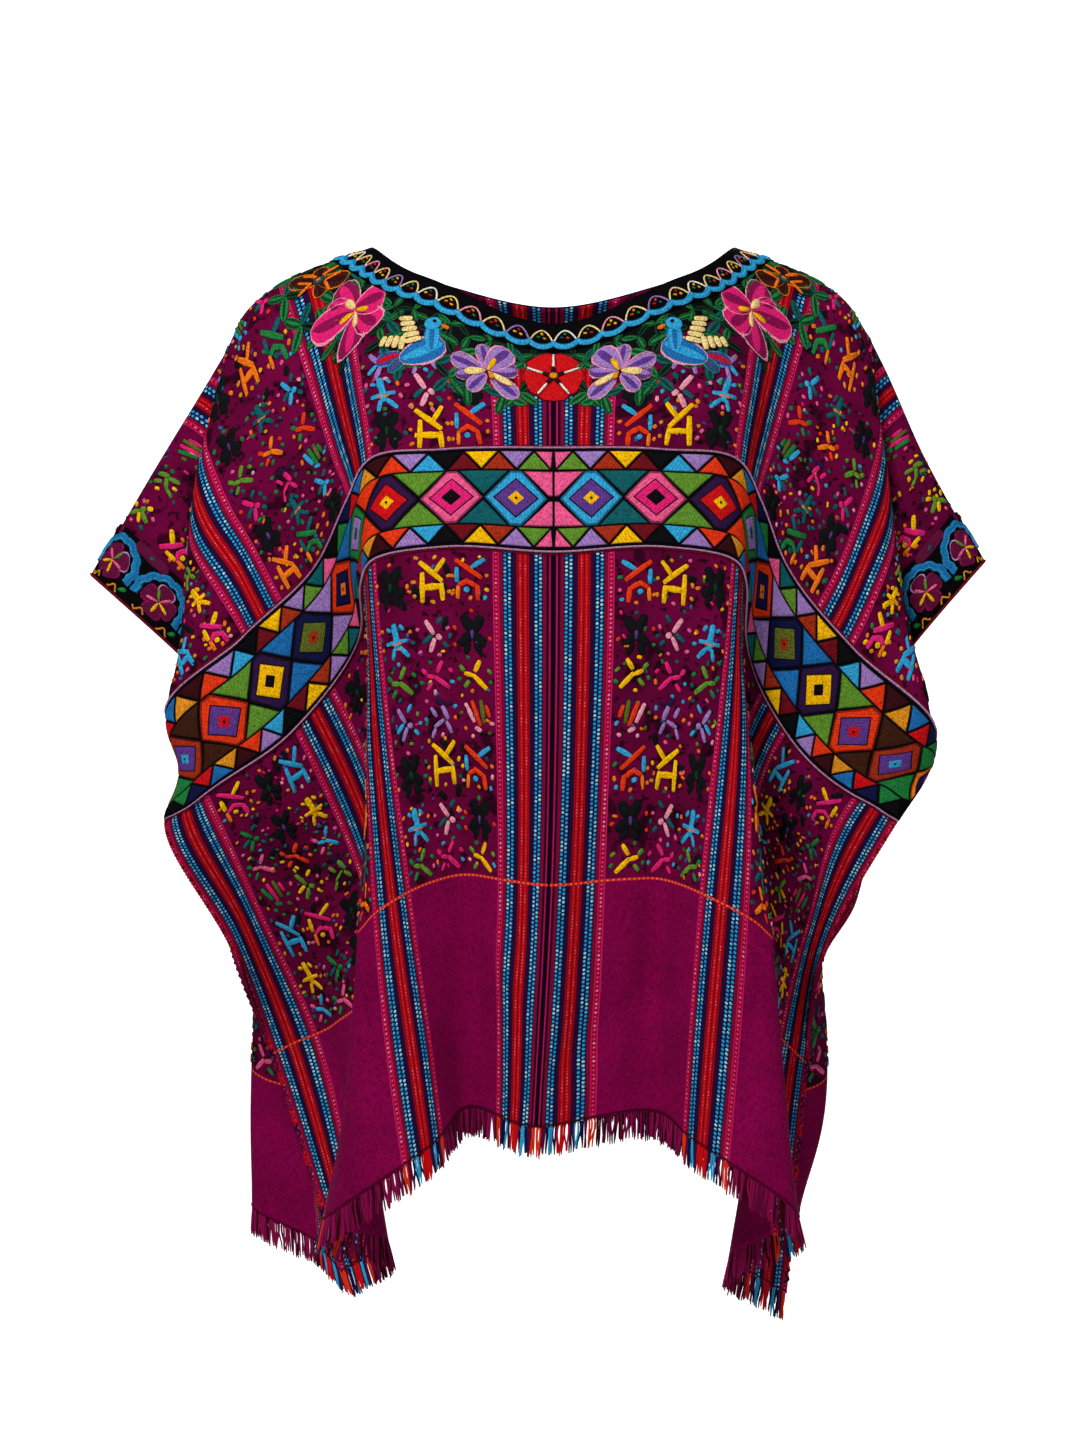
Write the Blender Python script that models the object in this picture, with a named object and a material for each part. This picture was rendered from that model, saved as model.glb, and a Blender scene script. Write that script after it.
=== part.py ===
"""Huipil blouse, worn and empty: two loom panels folded over the shoulders, with their sewn-on pieces.

The cut is flat: u runs from the centre seam out to the selvage and v from the shoulder fold down to the
hem, both in millimetres on the cloth. The drape tables say where named lines of that cloth hang, one row a
station, and every piece is worked out from the same draped surface.
"""
import math

import bmesh
import bpy
import numpy as np

MM = 0.001

# Flat cut, mm
HALF_WIDTH = 383.0
LENGTH = 612.0
NECK_HALF_WIDTH = 100.0
NECK_DEPTH = {"front": 95.0, "back": 75.0}
NECK_FULLNESS = 0.6
UNDERARM = 365.0
BAND_TOP = 187.0
BAND_BOTTOM = 253.0
ARMHOLE_TRIM_FROM = 345.0
ARMHOLE_TRIM_LENGTH = {"front": 144.0, "back": 150.0}
NECK_TRIM_WIDTH = 23.0
FRINGE_LENGTH = 20.0

# Walls and gaps, mm
WALL = 1.8
TRIM_WALL = 1.1
GAP = 0.3
NECK_TRIM_GAP = 0.6
FRINGE_GAP = 0.5
HALF_SEAM = 0.15

# Fringe, mm
STRANDS_PER_HEM = 38
STRAND_SHARE = 0.62
STRIP_HEIGHT = 2.0
STRAND_TIP = 0.45

COLUMNS = (HALF_SEAM, 18, 36, 54, 72, 84, 92, 97, 100, 114, 127, 140, 152, 165, 178, 191, 205, 220, 235, 250,
           266, 282, 298, 314, 330, 345, 358, 371, HALF_WIDTH)
ROWS = {
    "front": (0, 10, 22, 36, 50, 64, 80, 96, 112, 128, 144, 158, 172, 187, 209, 231, 253, 285, 320, 365,
              410, 461, 510, 560, LENGTH),
    "back": (0, 12, 26, 42, 60, 80, 102, 126, 150, 168, 187, 209, 231, 253, 290, 330, 365, 410, 461, 510,
             560, LENGTH),
}

# How roundly each line of cloth leaves the shoulder fold: 1 lies level over it, 0 is a pressed crease
FOLD_ROUNDNESS = {
    "centre": 1.0, "inner": 1.0, "neck_side": 1.0, "crest": 0.9, "pocket": 0.9, "side": 0.9,
    "arm_crest": 0.8, "arm_tuck": 0.7, "wing": 0.6, "selvage": 0.5,
}

# Columns of every row: v, u, x on the left, x on the right, y, z on the left, z on the right (mm)
DRAPE = {
    "front": {
        "centre": (
            (0, 0, 0, 0, -4, 0, 0),
            (95, 0, 0, 0, -75, -58, -58),
            (187, 0, 0, 0, -116, -140, -140),
            (253, 0, 0, 0, -128, -205, -205),
            (461, 0, -3, -3, -136, -413, -413),
            (612, 0, -11, -11, -136, -564, -564),
        ),
        "inner": (
            (0, 70, -97, 97, 2, 8, 8),
            (68, 70, -86, 86, -50, -26, -26),
            (187, 70, -70, 70, -114, -141, -141),
            (253, 70, -70, 70, -128, -202, -202),
            (461, 75, -62, 66, -122, -408, -410),
            (612, 80, -57, 66, -106, -556, -558),
        ),
        "neck_side": (
            (0, 100, -121, 121, 5, 0, 0),
            (100, 114, -126, 126, -58, -68, -68),
            (187, 116, -115, 115, -102, -146, -146),
            (253, 118, -113, 113, -118, -210, -210),
            (461, 120, -92, 94, -136, -418, -419),
            (612, 122, -72, 84, -134, -572, -570),
        ),
        "crest": (
            (0, 152, -181, 176, 6, -22, -20),
            (70, 152, -161, 158, -38, -83, -80),
            (138, 152, -142, 140, -60, -141, -139),
            (187, 152, -130, 130, -88, -171, -170),
            (253, 148, -120, 120, -106, -224, -224),
            (461, 178, -122, 136, -136, -443, -445),
            (612, 205, -134, 150, -132, -616, -616),
        ),
        "pocket": (
            (0, 188, -207, 199, 6, -46, -40),
            (70, 186, -188, 183, -38, -105, -102),
            (138, 190, -168, 166, -58, -166, -165),
            (187, 190, -148, 146, -70, -206, -206),
            (253, 188, -122, 122, -70, -252, -256),
            (461, 240, -108, 120, -84, -470, -470),
            (612, 250, -146, 152, -98, -630, -630),
        ),
        "side": (
            (0, 196, -210, 203, 6, -53, -47),
            (64, 208, -206, 198, -32, -117, -112),
            (112, 226, -205, 197, -50, -170, -166),
            (150, 245, -200, 195, -58, -213, -214),
            (187, 267, -199, 192, -62, -257, -264),
            (253, 267, -167, 150, -60, -316, -318),
            (461, 300, -131, 140, -26, -500, -500),
            (612, 300, -108, 115, -56, -645, -655),
        ),
        "arm_crest": (
            (0, 205, -214, 208, 6, -62, -55),
            (64, 230, -226, 213, -26, -131, -126),
            (112, 267, -235, 221, -42, -197, -195),
            (150, 306, -240, 230, -48, -253, -250),
            (187, 345, -247, 243, -56, -310, -311),
            (253, 345, -222, 193, -64, -356, -358),
            (365, 345, -190, 166, -28, -434, -440),
            (461, 345, -156, 150, 16, -518, -520),
            (612, 340, -118, 125, -24, -660, -670),
        ),
        "arm_tuck": (
            (0, 225, -224, 217, 7, -79, -72),
            (18, 232, -213, 207, -3, -96, -90),
            (42, 264, -215, 205, -8, -142, -136),
            (62, 304, -221, 211, -10, -187, -181),
            (88, 340, -222, 213, -13, -237, -230),
            (140, 364, -212, 210, -26, -300, -296),
            (187, 364, -237, 246, -48, -324, -321),
            (253, 362, -235, 206, -63, -366, -365),
            (365, 364, -201, 172, -20, -447, -453),
            (461, 364, -174, 161, 27, -526, -531),
            (612, 362, -129, 139, -9, -667, -679),
        ),
        "wing": (
            (0, 300, -263, 246, 8, -143, -136),
            (42, 325, -244, 230, -6, -192, -185),
            (88, 364, -232, 221, -13, -256, -250),
            (140, 375, -206, 205, -22, -305, -302),
            (187, 374, -231, 245, -42, -333, -326),
            (253, 374, -244, 215, -62, -371, -371),
            (365, 375, -207, 175.5, -15.5, -454.5, -460.5),
            (461, 375, -183, 167, 33, -531, -537),
            (612, 374, -135, 148, 2, -672, -686),
        ),
        "selvage": (
            (0, 383, -305, 285, 8, -215, -206),
            (80, 383, -246, 236, -10, -267, -262),
            (140, 383, -203, 203, -20, -308, -306),
            (187, 383, -226, 244, -38, -340, -330),
            (215, 383, -241, 242, -52, -358, -345),
            (253, 383, -250, 222, -60, -374, -375),
            (365, 383, -212, 178, -12, -460, -466),
            (461, 383, -189, 171, 36, -534, -541),
            (612, 383, -140, 155, 10, -676, -690),
        ),
    },
    "back": {
        "centre": (
            (0, 0, 0, 0, 12, 0, 0),
            (75, 0, 0, 0, 58, -32, -32),
            (152, 0, 0, 0, 98, -99, -99),
            (253, 0, 0, 0, 112, -199, -199),
            (461, 0, 0, 0, 116, -407, -407),
            (612, 0, 0, 0, 120, -558, -558),
        ),
        "inner": (
            (0, 72, -98, 98, 6, 8, 8),
            (52, 72, -88, 88, 42, -16, -16),
            (152, 72, -72, 72, 94, -100, -100),
            (253, 72, -70, 70, 108, -201, -201),
            (461, 75, -58, 58, 106, -420, -420),
            (612, 75, -52, 52, 104, -572, -572),
        ),
        "neck_side": (
            (0, 100, -121, 121, 5, 0, 0),
            (100, 114, -126, 126, 66, -68, -68),
            (187, 116, -115, 115, 96, -148, -148),
            (253, 118, -113, 113, 108, -213, -213),
            (461, 118, -92, 92, 124, -444, -444),
            (612, 118, -86, 86, 130, -590, -590),
        ),
        "crest": (
            (0, 152, -181, 176, 6, -22, -20),
            (70, 152, -161, 158, 50, -83, -80),
            (138, 152, -144, 142, 74, -143, -141),
            (187, 155, -140, 138, 88, -186, -184),
            (253, 160, -140, 138, 100, -250, -248),
            (461, 165, -132, 130, 118, -470, -468),
            (612, 165, -128, 119, 116, -606, -602),
        ),
        "side": (
            (0, 188, -207, 199, 6, -46, -40),
            (70, 196, -194, 188, 48, -112, -108),
            (112, 215, -198, 190, 60, -160, -156),
            (150, 232, -196, 188, 68, -203, -200),
            (187, 240, -192, 184, 76, -240, -236),
            (253, 240, -182, 176, 86, -296, -292),
            (461, 250, -190, 174, 112, -526, -520),
            (612, 240, -190, 165, 125, -634, -628),
        ),
        "arm_crest": (
            (0, 205, -214, 208, 6, -62, -55),
            (64, 230, -221, 209, 38, -131, -126),
            (112, 267, -226, 214, 58, -197, -195),
            (150, 306, -228, 220, 66, -253, -250),
            (187, 330, -226, 218, 74, -296, -292),
            (253, 310, -206, 198, 80, -340, -338),
            (365, 290, -200, 182, 76, -440, -442),
            (461, 285, -206, 188, 88, -546, -550),
            (612, 280, -206, 169, 90, -642, -646),
        ),
        "arm_tuck": (
            (0, 225, -224, 217, 7, -79, -72),
            (18, 232, -218, 208, 18, -96, -90),
            (42, 264, -220, 207, 30, -142, -136),
            (62, 304, -226, 213, 36, -187, -181),
            (88, 340, -226, 214, 42, -237, -230),
            (140, 362, -212, 208, 50, -298, -294),
            (187, 360, -214, 209, 60, -329, -325),
            (253, 350, -213, 206, 72, -367, -363),
            (365, 345, -192, 168, 22, -452, -456),
            (410, 345, -183, 162, 44, -506, -511),
            (461, 345, -172, 156, 62, -556, -560),
            (612, 345, -158, 144, 48, -662, -674),
        ),
        "wing": (
            (0, 300, -263, 246, 8, -143, -136),
            (42, 325, -244, 230, 22, -192, -185),
            (88, 364, -232, 221, 30, -256, -250),
            (140, 374, -206, 205, 38, -304, -301),
            (187, 372, -214, 208, 56, -339, -334),
            (253, 370, -221, 212, 68, -384, -380),
            (300, 370, -214, 196, 47, -421, -421),
            (365, 368, -204, 174, 1, -457, -462),
            (410, 368, -196, 169, 24, -501, -508),
            (461, 367, -180, 162, 51, -545, -551),
            (612, 366, -150, 150, 28, -668, -682),
        ),
        "selvage": (
            (0, 383, -305, 285, 8, -215, -206),
            (80, 383, -246, 236, 26, -267, -262),
            (140, 383, -203, 203, 36, -308, -306),
            (187, 383, -213, 208, 52, -347, -342),
            (253, 383, -224, 214, 64, -396, -391),
            (300, 383, -222, 204, 43, -432, -431),
            (365, 383, -212, 178, -12, -460, -466),
            (461, 383, -189, 171, 36, -534, -541),
            (612, 383, -140, 155, 10, -676, -690),
        ),
    },
}

COLOURS = {
    "panel": (0.20, 0.012, 0.075, 1.0),
    "band": (0.10, 0.02, 0.05, 1.0),
    "black_trim": (0.008, 0.007, 0.010, 1.0),
    "fringe": (0.22, 0.010, 0.085, 1.0),
}


def new_material(name, colour, roughness=0.85):
    """A Principled material of one colour."""
    mat = bpy.data.materials.new(name)
    mat.use_nodes = True
    shader = mat.node_tree.nodes["Principled BSDF"]
    shader.inputs["Base Color"].default_value = colour
    shader.inputs["Roughness"].default_value = roughness
    return mat


def knot_slopes(knots, values):
    """Slopes of a smooth curve through unevenly spaced knots."""
    steps = np.diff(knots)
    rises = np.diff(values, axis=0) / steps[:, None]
    slopes = np.zeros_like(values)
    slopes[0], slopes[-1] = rises[0], rises[-1]
    share = (steps[1:] / (steps[:-1] + steps[1:]))[:, None]
    slopes[1:-1] = share * rises[:-1] + (1 - share) * rises[1:]
    return slopes


def smooth(knots, values, at, slopes=None):
    """Smooth curve through knots, read at the places given."""
    knots = np.asarray(knots, float)
    values = np.asarray(values, float)
    if slopes is None:
        slopes = knot_slopes(knots, values)
    at = np.atleast_1d(np.asarray(at, float))
    i = np.clip(np.searchsorted(knots, at, side="right") - 1, 0, len(knots) - 2)
    h = (knots[i + 1] - knots[i])[:, None]
    f = np.clip((at - knots[i]) / h[:, 0], 0, 1)[:, None]
    return ((2 * f**3 - 3 * f**2 + 1) * values[i] + (f**3 - 2 * f**2 + f) * h * slopes[i]
            + (3 * f**2 - 2 * f**3) * values[i + 1] + (f**3 - f**2) * h * slopes[i + 1])


def line_at(face, name, v):
    """Where one drape line is, v down the cloth: (u, x left, x right, y, z left, z right)."""
    if name == "selvage" and v >= UNDERARM:
        face = "front"
    rows = np.asarray(DRAPE[face][name], float)
    slopes = knot_slopes(rows[:, 0], rows[:, 1:])
    over = FOLD_ROUNDNESS[name] * (-1 if face == "front" else 1)
    slopes[0] = (slopes[0][0], 0, 0, over, 0, 0)
    return smooth(rows[:, 0], rows[:, 1:], v, slopes)[0]


def lines_across(face, v):
    """All drape lines at one v, from the left selvage to the right: signed u, and their points."""
    left, right = [], []
    for name in DRAPE[face]:
        u, x_left, x_right, y, z_left, z_right = line_at(face, name, v)
        left.append((-u, x_left, y, z_left))
        right.append((u, x_right, y, z_right))
    table = np.array(left[:0:-1] + right)
    return table[:, 0], table[:, 1:]


def cloth_row(face, v, us):
    """Points of the draped cloth at one v for many signed u."""
    knots, points = lines_across(face, v)
    return smooth(knots, points, us)


def neck_v(face, u):
    """The v of the neck edge at u, 0 outside the neck hole."""
    inside = 1 - (abs(u) / NECK_HALF_WIDTH) ** 2
    return NECK_DEPTH[face] * inside**NECK_FULLNESS if inside > 1e-9 else 0.0


def surface(face, u, v):
    """Point and outward normal of the draped cloth at (u, v), shared by both faces on fold and side seam."""
    if v == 0 or on_side_seam(u, v):
        (point, front), (_, back) = one_sided_surface("front", u, v), one_sided_surface("back", u, v)
        return point, (front + back) / np.linalg.norm(front + back)
    return one_sided_surface(face, u, v)


def on_side_seam(u, v):
    """Whether a place on the cloth is on the seam that joins both selvages below the armhole."""
    return abs(u) == HALF_WIDTH and v >= UNDERARM


def one_sided_surface(face, u, v):
    """Point and outward normal worked out on one face alone."""
    step = 1.5
    across = cloth_row(face, v, [u - step, u, u + step])
    above = cloth_row(face, max(v - step, 0.0), [u])[0]
    below = cloth_row(face, min(v + step, LENGTH), [u])[0]
    normal = np.cross(across[2] - across[0], below - above)
    if face == "front":
        normal = -normal
    return across[1], normal / np.linalg.norm(normal)


class Sheet:
    """Points, normals and quads of one draped sheet, before it gets its wall."""

    def __init__(self):
        self.points, self.normals, self.quads, self.seen = [], [], [], {}

    def vertex(self, face, u, v):
        """Index of the cloth point at (u, v); shoulder fold and side seam are shared by both faces."""
        key = (round(u, 3), round(v, 3) if face == "front" or on_side_seam(u, v) else -round(v, 3))
        if key not in self.seen:
            point, normal = surface(face, u, v)
            self.seen[key] = len(self.points)
            self.points.append(point)
            self.normals.append(normal)
        return self.seen[key]

    def quad(self, face, corners):
        """Add a quad of (u, v) corners, turned to face outwards."""
        ids = [self.vertex(face, u, v) for u, v in corners]
        self.quads.append(ids if face == "back" else ids[::-1])


def rows_at(face, u):
    """The panel's v stations in one column; above the band they start at the neck edge."""
    start = neck_v(face, u)
    below = [v for v in ROWS[face] if v >= BAND_TOP]
    above = [v for v in ROWS[face] if v < BAND_TOP]
    return [start + (BAND_TOP - start) * v / BAND_TOP for v in above] + below


def panel_sheet(side):
    """One loom panel, front and back in one piece."""
    sheet = Sheet()
    columns = [side * u for u in COLUMNS]
    if side < 0:
        columns.reverse()
    for face in ("front", "back"):
        for u0, u1 in zip(columns, columns[1:]):
            left, right = rows_at(face, u0), rows_at(face, u1)
            for k in range(len(left) - 1):
                corners = [(u0, left[k]), (u1, right[k]), (u1, right[k + 1]), (u0, left[k + 1])]
                sheet.quad(face, corners)
    return sheet


def patch_sheet(faces_rows, columns):
    """A strip laid on the panel's own columns and rows."""
    sheet = Sheet()
    for face, rows in faces_rows:
        for u0, u1 in zip(columns, columns[1:]):
            for v0, v1 in zip(rows, rows[1:]):
                sheet.quad(face, [(u0, v0), (u1, v0), (u1, v1), (u0, v1)])
    return sheet


def band_sheet(face):
    """The chest band across both panels."""
    out = [u for u in COLUMNS]
    columns = [-u for u in reversed(out)] + out
    rows = [v for v in ROWS[face] if BAND_TOP <= v <= BAND_BOTTOM]
    return patch_sheet([(face, rows)], columns)


def armhole_sheet(side):
    """The trim over the shoulder end of one selvage, front and back."""
    columns = sorted(side * u for u in COLUMNS if u >= ARMHOLE_TRIM_FROM)
    parts = []
    for face in ("front", "back"):
        parts.append((face, [v for v in ROWS[face] if v <= ARMHOLE_TRIM_LENGTH[face]]))
    return patch_sheet(parts, columns)


def neck_sheet():
    """The ring round the neck hole, made as rays from its edge."""
    sheet = Sheet()
    turns, rings = 15, 3
    for face in ("front", "back"):
        for side in (-1, 1):
            for i in range(turns):
                a0, a1 = i / turns * math.pi / 2, (i + 1) / turns * math.pi / 2
                for j in range(rings):
                    grow = [j / rings * NECK_TRIM_WIDTH, (j + 1) / rings * NECK_TRIM_WIDTH]
                    corners = [ring_point(face, side, a, g) for a, g in
                               ((a0, grow[0]), (a1, grow[0]), (a1, grow[1]), (a0, grow[1]))]
                    sheet.quad(face, corners if side > 0 else corners[::-1])
    return sheet


def ring_point(face, side, angle, grow):
    """Flat place of a point of the neck ring: angle from the centre seam, grow away from the edge."""
    return (side * (NECK_HALF_WIDTH + grow) * math.sin(angle),
            (NECK_DEPTH[face] + grow) * abs(math.cos(angle)) ** (2 * NECK_FULLNESS)
            if angle < math.pi / 2 - 1e-6 else 0.0)


def shell(name, sheet, low, high, material, collection):
    """Close a sheet into a wall between two distances from the cloth's outer face."""
    bm = bmesh.new()
    points, normals = np.array(sheet.points), np.array(sheet.normals)
    outer = [bm.verts.new(p) for p in (points + high * normals) * MM]
    inner = [bm.verts.new(p) for p in (points + low * normals) * MM]
    edges = {}
    for ids in sheet.quads:
        for corners in ((ids[0], ids[1], ids[2]), (ids[0], ids[2], ids[3])):
            bm.faces.new([outer[i] for i in corners])
            bm.faces.new([inner[i] for i in reversed(corners)])
        for a, b in zip(ids, ids[1:] + ids[:1]):
            edges[(a, b)] = True
    for a, b in edges:
        if (b, a) not in edges:
            bm.faces.new([outer[b], outer[a], inner[a], inner[b]])
    return finish_mesh(name, bm, material, collection)


def finish_mesh(name, bm, material, collection):
    """Triangulate, turn outwards and link as a named object."""
    bmesh.ops.triangulate(bm, faces=bm.faces[:])
    bmesh.ops.recalc_face_normals(bm, faces=bm.faces[:])
    mesh = bpy.data.meshes.new(name)
    bm.to_mesh(mesh)
    bm.free()
    obj = bpy.data.objects.new(name, mesh)
    obj.data.materials.append(material)
    collection.objects.link(obj)
    return obj


def hem_columns(face, side):
    """The panel's own hem points: for each column its u, outer point, inner point and hanging direction."""
    out = []
    for column in sorted(side * u for u in COLUMNS):
        point, normal = surface(face, column, LENGTH)
        before = cloth_row(face, LENGTH - 6.0, [column])[0]
        down = (point - before) / np.linalg.norm(point - before)
        out.append((column, point, point - normal * WALL, down))
    return out


def hem_at(hem, u):
    """Outer point, inner point and hanging direction between two columns of the hem."""
    knots = [row[0] for row in hem]
    return [np.array([np.interp(u, knots, [row[k][axis] for row in hem]) for axis in range(3)])
            for k in (1, 2, 3)]


def fringe_strand_ends(face, side, u0, u1, index):
    """Corners of a strand's root and tip, as (top outer, top inner) pairs at both sides."""
    length = FRINGE_LENGTH - STRIP_HEIGHT - 2.5 * (0.5 + 0.5 * math.sin(index * 2.4))
    lean = 0.35 * math.sin(index * 1.7)
    middle, half = (u0 + u1) / 2, (u1 - u0) / 2 * STRAND_TIP
    return length, (middle - half + lean, middle + half + lean)


def fringe(name, face, side, material, collection):
    """A narrow strip under one hem with tapered strands from its lower edge."""
    bm = bmesh.new()
    hem = hem_columns(face, side)
    first, last = sorted((side * 1.0, side * (HALF_WIDTH - 1.0)))
    pitch = (last - first) / STRANDS_PER_HEM
    stations = []
    for i in range(STRANDS_PER_HEM):
        stations += [first + i * pitch, first + (i + STRAND_SHARE) * pitch]
    stations.append(last)

    def cross_section(u, drop, thick):
        outer, inner, down = hem_at(hem, u)
        middle, half = (outer + inner) / 2 + down * drop, (outer - inner) / 2 * (thick / WALL)
        return [middle + half, middle - half]

    def verts(u, drop, thick):
        return [bm.verts.new(p * MM) for p in cross_section(u, drop, thick)]

    tops = [verts(u, FRINGE_GAP, WALL) for u in stations]
    lows = [verts(u, FRINGE_GAP + STRIP_HEIGHT, WALL) for u in stations]
    for i in range(len(stations) - 1):
        (to0, ti0), (to1, ti1) = tops[i], tops[i + 1]
        (lo0, li0), (lo1, li1) = lows[i], lows[i + 1]
        bm.faces.new((to0, to1, lo1, lo0))
        bm.faces.new((ti1, ti0, li0, li1))
        bm.faces.new((ti0, ti1, to1, to0))
        if i % 2:
            bm.faces.new((lo0, lo1, li1, li0))
            continue
        length, (ta, tb) = fringe_strand_ends(face, side, stations[i], stations[i + 1], i)
        drop = FRINGE_GAP + STRIP_HEIGHT + length
        (ao, ai), (bo, bi) = verts(ta, drop, WALL * 0.55), verts(tb, drop, WALL * 0.55)
        bm.faces.new((lo0, lo1, bo, ao))
        bm.faces.new((li1, li0, ai, bi))
        bm.faces.new((lo1, li1, bi, bo))
        bm.faces.new((li0, lo0, ao, ai))
        bm.faces.new((ao, bo, bi, ai))
    bm.faces.new((tops[0][0], lows[0][0], lows[0][1], tops[0][1]))
    bm.faces.new((tops[-1][1], lows[-1][1], lows[-1][0], tops[-1][0]))
    return finish_mesh(name, bm, material, collection)


def main():
    for obj in list(bpy.data.objects):
        bpy.data.objects.remove(obj)
    parts = bpy.data.collections.new("parts")
    bpy.context.scene.collection.children.link(parts)
    mats = {name: new_material(name, colour) for name, colour in COLOURS.items()}

    for side, word in ((-1, "left"), (1, "right")):
        shell(f"{word}_panel", panel_sheet(side), -WALL, 0.0, mats["panel"], parts)
        shell(f"armhole_trim_{word}", armhole_sheet(side), GAP, GAP + TRIM_WALL, mats["black_trim"], parts)
        for face in ("front", "back"):
            fringe(f"fringe_{face}_{word}", face, side, mats["fringe"], parts)
    for face in ("front", "back"):
        shell(f"chest_band_{face}", band_sheet(face), GAP, GAP + TRIM_WALL, mats["band"], parts)
    shell("neck_trim", neck_sheet(), NECK_TRIM_GAP, NECK_TRIM_GAP + TRIM_WALL, mats["black_trim"], parts)


main()
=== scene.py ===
"""Looks of a worn huipil blouse: loom panels, brocade, embroidery, chest bands, trims and fringe.

The cut is flat: u runs from the centre seam out to the selvage and v from the shoulder fold down to the hem,
both in millimetres on the cloth. Drape hangs that flat cloth, and every piece is placed on it by its (u, v).
"""
from __future__ import annotations

import logging
import math
from dataclasses import dataclass, field
from enum import Enum
from functools import lru_cache
from typing import Callable, Iterable, Sequence

import bmesh
import bpy
import numpy as np
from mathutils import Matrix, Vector

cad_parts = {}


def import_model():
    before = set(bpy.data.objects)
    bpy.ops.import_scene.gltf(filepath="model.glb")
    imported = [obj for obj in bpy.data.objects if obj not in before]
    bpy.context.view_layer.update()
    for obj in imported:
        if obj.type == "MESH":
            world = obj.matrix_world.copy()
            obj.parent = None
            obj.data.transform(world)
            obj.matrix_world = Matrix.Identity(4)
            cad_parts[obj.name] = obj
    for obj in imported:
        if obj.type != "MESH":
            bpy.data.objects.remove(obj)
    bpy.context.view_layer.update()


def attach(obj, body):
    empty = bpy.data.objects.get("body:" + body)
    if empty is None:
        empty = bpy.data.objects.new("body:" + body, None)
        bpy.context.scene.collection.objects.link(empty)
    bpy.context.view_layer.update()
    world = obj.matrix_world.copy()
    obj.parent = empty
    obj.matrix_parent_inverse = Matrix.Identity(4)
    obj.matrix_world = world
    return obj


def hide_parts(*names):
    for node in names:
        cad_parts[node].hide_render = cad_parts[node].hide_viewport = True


MM = 0.001
LOG = logging.getLogger("huipil")

# The flat cut, mm
HALF_WIDTH = 383.0
LENGTH = 612.0
NECK_HALF_WIDTH = 100.0
NECK_FULLNESS = 0.6
NECK_AREA_SHARE = 0.757  # of the box round the neck hole, at that fullness
UNDERARM = 365.0
BAND_TOP, BAND_BOTTOM = 187.0, 253.0
PLAIN_FROM = 461.0
GROUP_CENTRES = (19.0, 134.0, 248.5, 364.0)
GROUP_REACH = 18.6
ZONES = ((38.0, 116.0), (152.0, 230.0), (267.0, 345.0))


class Face(Enum):
    """The two faces of a panel folded over the shoulder."""

    FRONT = "front"
    BACK = "back"

    @property
    def neck_depth(self) -> float:
        """How deep the neck hole is cut on this face, mm."""
        return 95.0 if self is Face.FRONT else 75.0

    @property
    def trim_length(self) -> float:
        """How far down the armhole trim runs on this face, mm."""
        return 144.0 if self is Face.FRONT else 150.0


class Side(Enum):
    """The two loom panels, named as the viewer of the front sees them."""

    LEFT = -1
    RIGHT = 1

    @property
    def word(self) -> str:
        """The side's name in piece names."""
        return self.name.lower()


@dataclass(frozen=True)
class HangLine:
    """One line of the cloth and where it hangs: rows of v, u, x left, x right, y, z left, z right (mm)."""

    name: str
    roundness: float
    rows: tuple[tuple[float, ...], ...]


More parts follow.
